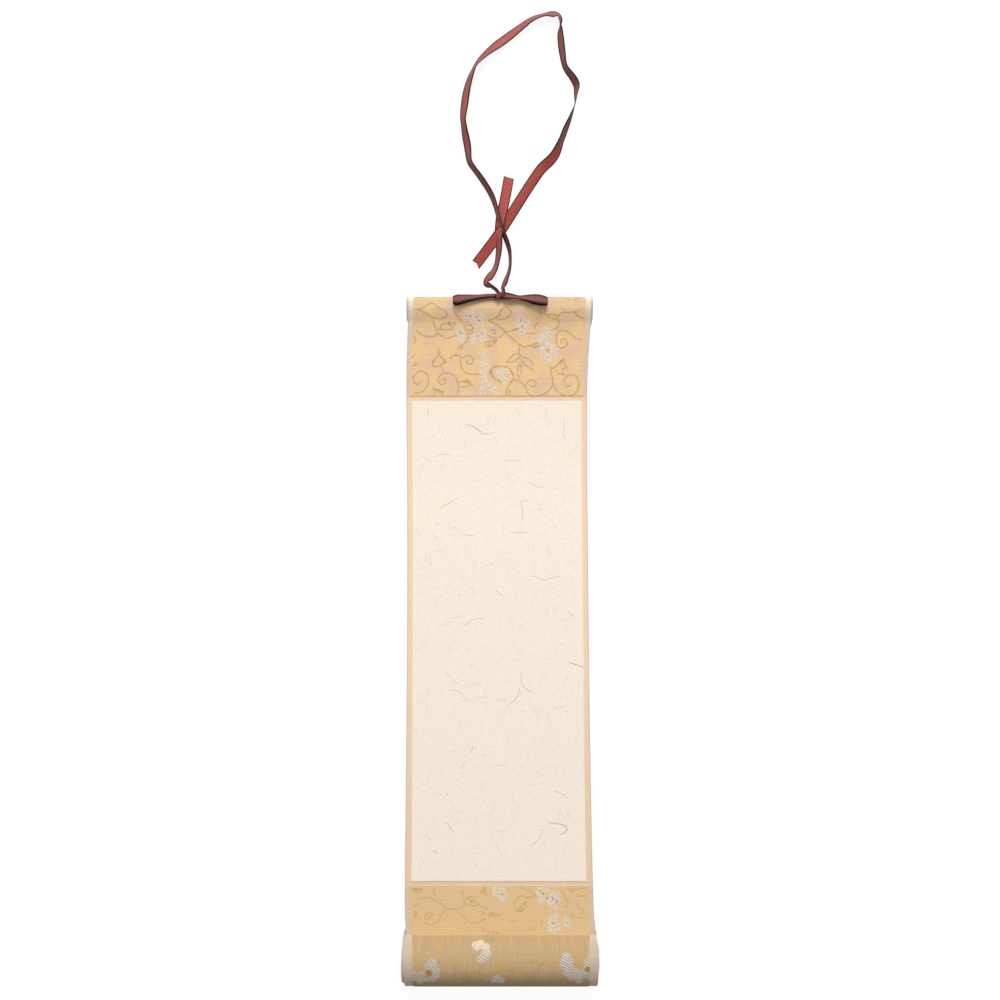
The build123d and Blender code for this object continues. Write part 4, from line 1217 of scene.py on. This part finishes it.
def brocade_piece(name, node, rows, half_width, first, last, round_rod):
    """One brocade cloth, with the distance to each woven figure kept at its points.

    Its vines and drops go on round the rod, where they are the same ones moved that far."""
    flat = flat_grid(brocade_columns, rows, half_width)
    piece = sheet_piece(
        name, flat, backing_thickness, wrap_thickness, brocade_material,
    )
    for figure, strokes in figures.items():
        middle = (strokes[:, 1] + strokes[:, 3]) / 2
        here = strokes[(middle >= first) & (middle <= last)]
        if figure in ("vine", "drop"):
            here = np.vstack([here, here + (0, round_rod, 0, round_rod, 0, 0)])
        mark_points(piece, figure, np.tile(nearest(flat.reshape(-1, 2), here), 2))
    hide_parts(node)
    2 * float(half_width(rows).mean()) * mm


top_rows = brocade_rows(walk_start, top_brocade_length, top_far_along - 2, top_brocade_length)
brocade_piece(
    "top_brocade_cloth", "top_brocade", top_rows, width_line(top_widths), -20, top_brocade_length,
    -56.0,
)
low_rows = brocade_rows(bottom_brocade_start, walk_end, bottom_brocade_start, low_far_along + 6)
brocade_piece(
    "bottom_brocade_cloth", "bottom_brocade", low_rows, width_line(low_widths),
    bottom_brocade_start, 420, 46.0,
)

# Paper panel: a blank sheet of unryu washi, creamy white and matt, with long mulberry
# fibres in it. It is pasted on the lining between the brocades.
washi_material, tree = new_material("unryu washi")
washi_uv = add(tree, "UVMap", uv_map="cloth")
washi_mm = add(tree, "Mapping", {0: washi_uv, 3: (100.0, 100.0, 1.0)})
pulp_cloud = add(
    tree, "TexNoise", {"Vector": washi_mm, "Scale": 0.25, "Detail": 5.0, "Roughness": 0.65},
    noise_dimensions="2D",
)
pulp_grain = add(
    tree, "TexNoise", {"Vector": washi_mm, "Scale": 0.9, "Detail": 4.0, "Roughness": 0.75},
    noise_dimensions="2D",
)
washi_base = add(tree, "Mix", {0: pulp_cloud, 6: "#FFF1DE", 7: "#FDF1E4"}, data_type="RGBA")
pulp_tone = add(tree, "MapRange", {0: pulp_grain, 3: 0.79, 4: 1.19})
cloud_tone = add(tree, "MapRange", {0: pulp_cloud, 1: 0.2, 2: 0.8, 3: 0.98, 4: 1.03})
washi_tone = add(tree, "Math", {0: pulp_tone, 1: cloud_tone}, operation="MULTIPLY")
washi_grained = add(
    tree, "Mix", {0: 1.0, 6: washi_base, 7: washi_tone}, data_type="RGBA", blend_type="MULTIPLY",
)
washi_axes = add(tree, "SeparateXYZ", {0: washi_mm})
washi_side = add(tree, "Math", {0: washi_axes.outputs[0]}, operation="ABSOLUTE")
# The side edges are lighter and warmer: partly the peach lining showing through the thin edge,
# partly painted highlight.
washi_edge_highlight = add(tree, "MapRange", {0: washi_side, 1: 49.7, 2: 50.0, 4: 0.8})
washi_with_edge_highlight = add(tree, "Mix", {0: washi_edge_highlight, 6: washi_grained, 7: "#FFEDD6"}, data_type="RGBA")
washi_bump = add(tree, "Bump", {"Height": pulp_grain, "Strength": 0.25, "Distance": 0.00015})
washi_shader = add(
    tree, "BsdfPrincipled",
    {
        "Base Color": washi_with_edge_highlight, "Roughness": 0.85, "Specular IOR Level": 0.25,
        "Normal": washi_bump,
    },
)
add(tree, "OutputMaterial", {0: washi_shader})

paper_half = paper_width / 2
panel_half = width_line([(paper_start + 150, paper_half), (paper_end, paper_half - 0.5)])
panel_flat = flat_grid(61, np.linspace(paper_start, paper_end, 141), panel_half)
paper_face = backing_thickness + paper_thickness
panel = sheet_piece(
    "washi_panel", panel_flat, backing_thickness, paper_face, washi_material,
)

# Mulberry fibres: pale tan bast fibres 3 to 15 mm long that lie in the face of the washi.
# The plainest ones are placed one by one from the photograph; faint ones are scattered.
fibre_material, tree = new_material("mulberry bast fibre")
fibre_strength = add(tree, "Attribute", attribute_name="strength")
fibre_colour = add(
    tree, "Mix", {0: fibre_strength.outputs["Fac"], 6: "#E9DCCA", 7: "#8C7558"}, data_type="RGBA",
)
fibre_shader = add(
    tree, "BsdfPrincipled",
    {"Base Color": fibre_colour, "Roughness": 0.8, "Specular IOR Level": 0.25},
)
add(tree, "OutputMaterial", {0: fibre_shader})

# strength and half width in mm of each group, then its fibres' places on the photograph
seen_fibres = [
    (
        0.85, 0.26,
        [
            [(465.8, 424.5), (471.1, 425.7), (475.8, 428.1), (480.5, 431.6), (483.5, 434.6)],
            [(568.4, 662.4), (572.5, 663.6), (578.4, 665.4), (583.7, 667.7)],
            [
                (549.2, 823.1), (557.3, 823.8), (563.9, 825.1), (566.9, 828.5), (564.6, 832.5),
                (559.3, 834.7),
            ],
            [(433, 850.5), (437.7, 853.2)], [(458.2, 594.9), (459.6, 595)],
            [(446.7, 794.4), (448.1, 794.2)], [(554.1, 526), (555.3, 526.2)],
            [(423.1, 863.2), (424.3, 863.2)],
        ],
    ),
    (
        0.5, 0.2,
        [
            [(429.2, 409.2), (426.8, 416.3)], [(422.7, 457), (427.4, 459.3), (431.5, 462.3)],
            [(433.3, 457), (440.4, 454.6), (446.3, 454), (450.4, 455.8)],
            [(563.7, 420.4), (564.3, 431)], [(562.5, 433.4), (566, 439.9)],
            [(530, 481.8), (536, 486.5), (544.2, 487.7)],
            [(521.2, 500.6), (521.8, 507.7), (523, 513), (521.9, 520.3)],
            [(458, 497.1), (449.8, 503), (442.8, 506), (439.8, 509.5)],
            [(462.4, 533.7), (467.8, 535), (474.5, 535.7)],
            [(509.2, 531.7), (515.9, 532.4), (522.5, 532.6), (528.5, 531.7)],
            [(495.8, 589.8), (497.8, 591.8), (501.2, 595.1), (504.5, 597.1)],
            [(463.8, 625.2), (469.1, 623.2), (471.8, 619.8), (477.1, 618.9), (485.1, 617.8)],
            [(530.6, 576.4), (537.2, 577.1), (543.9, 580.4), (551.9, 577.8), (559.9, 576.4)],
            [(567.9, 611.2), (574.6, 617.8)],
            [(521.8, 672.4), (521.2, 680.1), (523.6, 686.6), (528.9, 690.7), (533, 691.9)],
            [(519.4, 687.2), (518.9, 693.1), (513.5, 701.4), (507, 705.5)],
            [(450.4, 690.1), (455.7, 690.1), (461.6, 693.7), (465.2, 699), (469.3, 700.8)],
            [(472.8, 745.6), (472.2, 749.7), (469.3, 752.7)],
            [(461.8, 769), (463.1, 765), (466.4, 761)],
            [(553.3, 791.7), (558.6, 792.1), (562.6, 794.4), (568, 798.4)],
            [(529.9, 847.2), (537.2, 840.5), (541.2, 835.1), (543.9, 829.8)],
            [(446.4, 821.8), (451.1, 828.5), (454.4, 832.5)], [(426.4, 835.1), (431, 840.5)],
        ],
    ),
    (
        0.25, 0.17,
        [
            [(424.5, 463.5), (420.9, 470), (418, 479.4)], [(546, 407.4), (546, 422.8)],
            [(554.2, 488.3), (559, 489.8)], [(493.5, 435.8), (496.4, 439.3), (497, 445.2)],
            [(419.7, 499.5), (419.2, 503)], [(464, 448.7), (465.2, 444), (467, 440.5)],
            [(515.9, 408), (518.9, 411)], [(504.7, 461.7), (511.8, 460), (523, 461.7)],
            [(434.4, 521.7), (441.1, 525.7)], [(450.4, 528.1), (458.4, 527)],
            [(414.3, 530.4), (418.4, 533), (419.7, 536.4)], [(433.7, 551.1), (437.7, 551.3)],
            [(425.7, 553.7), (426.4, 560.4)], [(429.7, 553.7), (430.4, 567.1)],
            [(465.1, 584.5), (470.4, 587.8), (473.8, 591.8), (473.8, 597.8)],
            [(509.2, 620.5), (510.5, 624.5)], [(546.6, 545.1), (548.6, 557.7)],
            [(550.6, 549.7), (551.3, 557.7)], [(516.5, 592.5), (516.5, 600.5)],
            [(474, 697.2), (480.5, 697.5), (487.6, 697.6)],
            [(494.7, 700.8), (500.6, 700.2), (506.5, 701.4)],
            [(552.5, 710.2), (558.4, 707.2), (565.4, 706.7)], [(521.8, 709.6), (523, 713.1)],
            [(468.1, 648.3), (467.5, 653)], [(471.7, 663), (471, 668.3)],
            [(426.8, 704.3), (426.8, 712)], [(479.9, 755), (487.6, 756.2)],
            [(414.4, 728.5), (419.2, 732.6)], [(536.6, 776.4), (544.6, 775)],
            [(537.9, 768.4), (538.6, 773.7)], [(483.8, 783.3), (490.5, 781)],
            [(565.9, 812.4), (572, 819.1)], [(558.6, 812.4), (558.6, 821.8)],
            [(497.2, 830.5), (503.8, 831.1), (509.2, 827.8)], [(420.4, 834.5), (425, 833.1)],
            [(495.8, 841.8), (498.5, 848.5), (503.2, 856.5)], [(469.1, 852.5), (479.8, 853.8)],
        ],
    ),
]
fibre_verts, fibre_faces, fibre_reading = [], [], []
for strength, half_width, fibres in seen_fibres:
    for fibre in fibres:
        line = smooth_line(on_sheet(fibre), 4)
        count = len(line)
        heading = unit(np.gradient(line, axis=0))
        beside = np.column_stack([heading[:, 1], -heading[:, 0]])
        slim = 0.4 + 0.6 * np.sin(np.pi * np.linspace(0.08, 0.92, count))
        half = (half_width * slim)[:, None]
        first = sum(len(part) for part in fibre_verts)
        fibre_verts += [
            on_front(line - half * beside, paper_face - 0.02), on_front(line, paper_face + 0.04),
            on_front(line + half * beside, paper_face - 0.02),
        ]
        for k in range(count - 1):
            for a, b in ((0, 1), (1, 2), (2, 0)):
                low, high = first + a * count + k, first + b * count + k
                fibre_faces.append([low + 1, high + 1, high, low])
        last = first + count - 1
        fibre_faces += [
            [first, first + count, first + 2 * count], [last, last + 2 * count, last + count],
        ]
        fibre_reading += [strength] * (3 * count)
laid_fibres = finished(
    "washi_fibres", np.vstack(fibre_verts), fibre_faces, fibre_material,
)
mark_points(laid_fibres, "strength", fibre_reading)

# Faint fibres: three bent strands picked at random, scattered over the panel's face. They
# are thin three-sided tubes that stand half out of the paper.
scatter_seed = 7
scatter = bpy.data.node_groups.new("scattered fibres", "GeometryNodeTree")
for label, kind, value in (
    ("Geometry", "NodeSocketGeometry", None),
    ("Fibres per square metre", "NodeSocketFloat", 11000.0),
    ("Strand radius", "NodeSocketFloat", 0.08 * mm),
    ("Seed", "NodeSocketInt", scatter_seed),
    ("Finish", "NodeSocketMaterial", fibre_material),
):
    socket = scatter.interface.new_socket(label, in_out="INPUT", socket_type=kind)
    if value is not None:
        socket.default_value = value
scatter.interface.new_socket("Geometry", in_out="OUTPUT", socket_type="NodeSocketGeometry")
given = add(scatter, "NodeGroupInput").outputs
spread = add(
    scatter, "GeometryNodeDistributePointsOnFaces",
    {"Mesh": given["Geometry"], "Density": given[1], "Seed": given["Seed"]},
)
profile = add(scatter, "GeometryNodeCurvePrimitiveCircle", {"Resolution": 3, "Radius": given[2]})
strands = add(scatter, "GeometryNodeGeometryToInstance")
for reach, bend in ((2.6, 0.9), (1.7, -0.5), (3.6, 0.3)):
    strand = add(
        scatter, "GeometryNodeCurveQuadraticBezier",
        {
            "Resolution": 6, "Start": (-reach * mm, 0.0, 0.0), "Middle": (0.0, bend * mm, 0.0),
            "End": (reach * mm, 0.0, 0.0),
        },
    )
    tube = add(
        scatter, "GeometryNodeCurveToMesh",
        {"Curve": strand, "Profile Curve": profile, "Fill Caps": True},
    )
    scatter.links.new(tube.outputs[0], strands.inputs[0])
chosen = add(
    scatter, "FunctionNodeRandomValue", {"Min": 0, "Max": 2, "Seed": given["Seed"]},
    data_type="INT",
)
turned = add(
    scatter, "FunctionNodeRandomValue",
    {"Min": (0.0, 0.0, 0.0), "Max": (0.0, 0.0, 6.283), "Seed": given["Seed"]},
    data_type="FLOAT_VECTOR",
)
aimed = add(
    scatter, "FunctionNodeRotateEuler",
    {"Rotation": spread.outputs["Rotation"], "Rotate By": turned}, rotation_type="EULER",
    space="LOCAL",
)
sized = add(
    scatter, "FunctionNodeRandomValue", {"Min": 0.5, "Max": 1.3, "Seed": given["Seed"]},
    data_type="FLOAT",
)
placed = add(
    scatter, "GeometryNodeInstanceOnPoints",
    {
        "Points": spread.outputs["Points"], "Instance": strands, "Pick Instance": True,
        "Instance Index": chosen.outputs[2], "Rotation": aimed, "Scale": sized.outputs[1],
    },
)
real = add(scatter, "GeometryNodeRealizeInstances", {0: placed})
finish = add(scatter, "GeometryNodeSetMaterial", {"Geometry": real, "Material": given["Finish"]})
add(scatter, "NodeGroupOutput", {0: finish})

face_across = np.linspace(-1, 1, 13) * (paper_half - 4)
face_along = np.linspace(paper_start + 4, paper_end - 4, 71)
face_flat = np.stack(np.meshgrid(face_across, face_along), axis=-1).reshape(-1, 2)
face_index = np.arange(len(face_flat)).reshape(len(face_along), len(face_across))
face_quads = np.stack(
    [face_index[1:, :-1], face_index[1:, 1:], face_index[:-1, 1:], face_index[:-1, :-1]], axis=-1,
)
face_mesh = bpy.data.meshes.new("panel_face")
face_mesh.from_pydata(
    on_front(face_flat, paper_face).tolist(), [], face_quads.reshape(-1, 4).tolist(),
)
face_piece = in_scene("panel_face", face_mesh)
scattering = face_piece.modifiers.new("scattered fibres", "NODES")
scattering.node_group = scatter
seed_socket = next(s for s in scatter.interface.items_tree if s.name == "Seed")
scattering[seed_socket.identifier] = scatter_seed
depsgraph = bpy.context.evaluated_depsgraph_get()
faint_mesh = bpy.data.meshes.new_from_object(face_piece.evaluated_get(depsgraph))
bpy.data.objects.remove(face_piece)
faint_mesh.name = "faint_fibres"
faint_fibres = in_scene("washi_faint_fibres", faint_mesh)
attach(faint_fibres, "root")

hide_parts("paper_panel")

# Rods: plain turned wood, hidden in the brocade pockets apart from their ends. The grain
# runs along each rod and shows as rings on its ends.
wood_material, tree = new_material("plain turned wood")
wood_place = add(tree, "TexCoord")
wood_grain = add(tree, "Mapping", {0: wood_place.outputs["Object"], 3: (60.0, 900.0, 900.0)})
wood_noise = add(
    tree, "TexNoise", {"Vector": wood_grain, "Scale": 1.0, "Detail": 4.0, "Roughness": 0.6},
)
wood_colour = add(tree, "Mix", {0: wood_noise, 6: "#CDB699", 7: "#E6D5BC"}, data_type="RGBA")
wood_bump = add(tree, "Bump", {"Height": wood_noise, "Strength": 0.2, "Distance": 0.0002})
wood_shader = add(
    tree, "BsdfPrincipled",
    {"Base Color": wood_colour, "Roughness": 0.6, "Specular IOR Level": 0.3, "Normal": wood_bump},
)
add(tree, "OutputMaterial", {0: wood_shader})
for node in ("top_rod", "bottom_roller"):
    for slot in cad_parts[node].material_slots:
        slot.material = wood_material

# Floor: a pale matt table top, white to the camera, that keeps the scroll's soft shadow.
floor_material, tree = new_material("pale table top")
light_path = add(tree, "LightPath")
table_light = add(tree, "BsdfDiffuse", {"Color": (0.45, 0.45, 0.45, 1.0)})
table_seen = add(tree, "BsdfDiffuse", {"Color": (0.16, 0.16, 0.16, 1.0)})
table_glow = add(tree, "Emission", {"Color": (1.0, 1.0, 1.0, 1.0), "Strength": 0.9})
table_both = add(tree, "AddShader", {0: table_seen, 1: table_glow})
table_mix = add(
    tree, "MixShader", {0: light_path.outputs["Is Camera Ray"], 1: table_light, 2: table_both},
)
add(tree, "OutputMaterial", {0: table_mix})
table_mesh = bpy.data.meshes.new("table_top")
table_half = 3.0
table_corners = [(-1, -1, 0), (1, -1, 0), (1, 1, 0), (-1, 1, 0)]
table_mesh.from_pydata([Vector(c) * table_half for c in table_corners], [], [(0, 1, 2, 3)])
table_mesh.materials.append(floor_material)
table = in_scene("table_top", table_mesh)

# Light: a large soft lamp beyond the top of the scroll, 35 degrees up, and a pale sky that
# is a little darker towards the bottom of the scroll.
lamp_data = bpy.data.lights.new("window", "AREA")
lamp_data.shape = "SQUARE"
lamp_data.size = 0.45
lamp_data.energy = 10.9
lamp = in_scene("window", lamp_data)
lamp.location = (0.0, 1.0, 0.7)
lamp.rotation_euler = (math.radians(-55), 0.0, 0.0)
world = bpy.data.worlds.new("sky")
world.use_nodes = True
tree = world.node_tree
sky = tree.nodes["Background"]
sky.inputs[0].default_value = (1.0, 1.0, 1.0, 1.0)
sky_way = add(tree, "TexCoord")
sky_axes = add(tree, "SeparateXYZ", {0: sky_way.outputs["Generated"]})
sky_level = add(tree, "Math", {0: sky_axes.outputs[1], 1: 0.22, 2: 0.5}, operation="MULTIPLY_ADD")
tree.links.new(sky_level.outputs[0], sky.inputs[1])
bpy.context.scene.world = world
bpy.context.scene.view_settings.view_transform = "Standard"
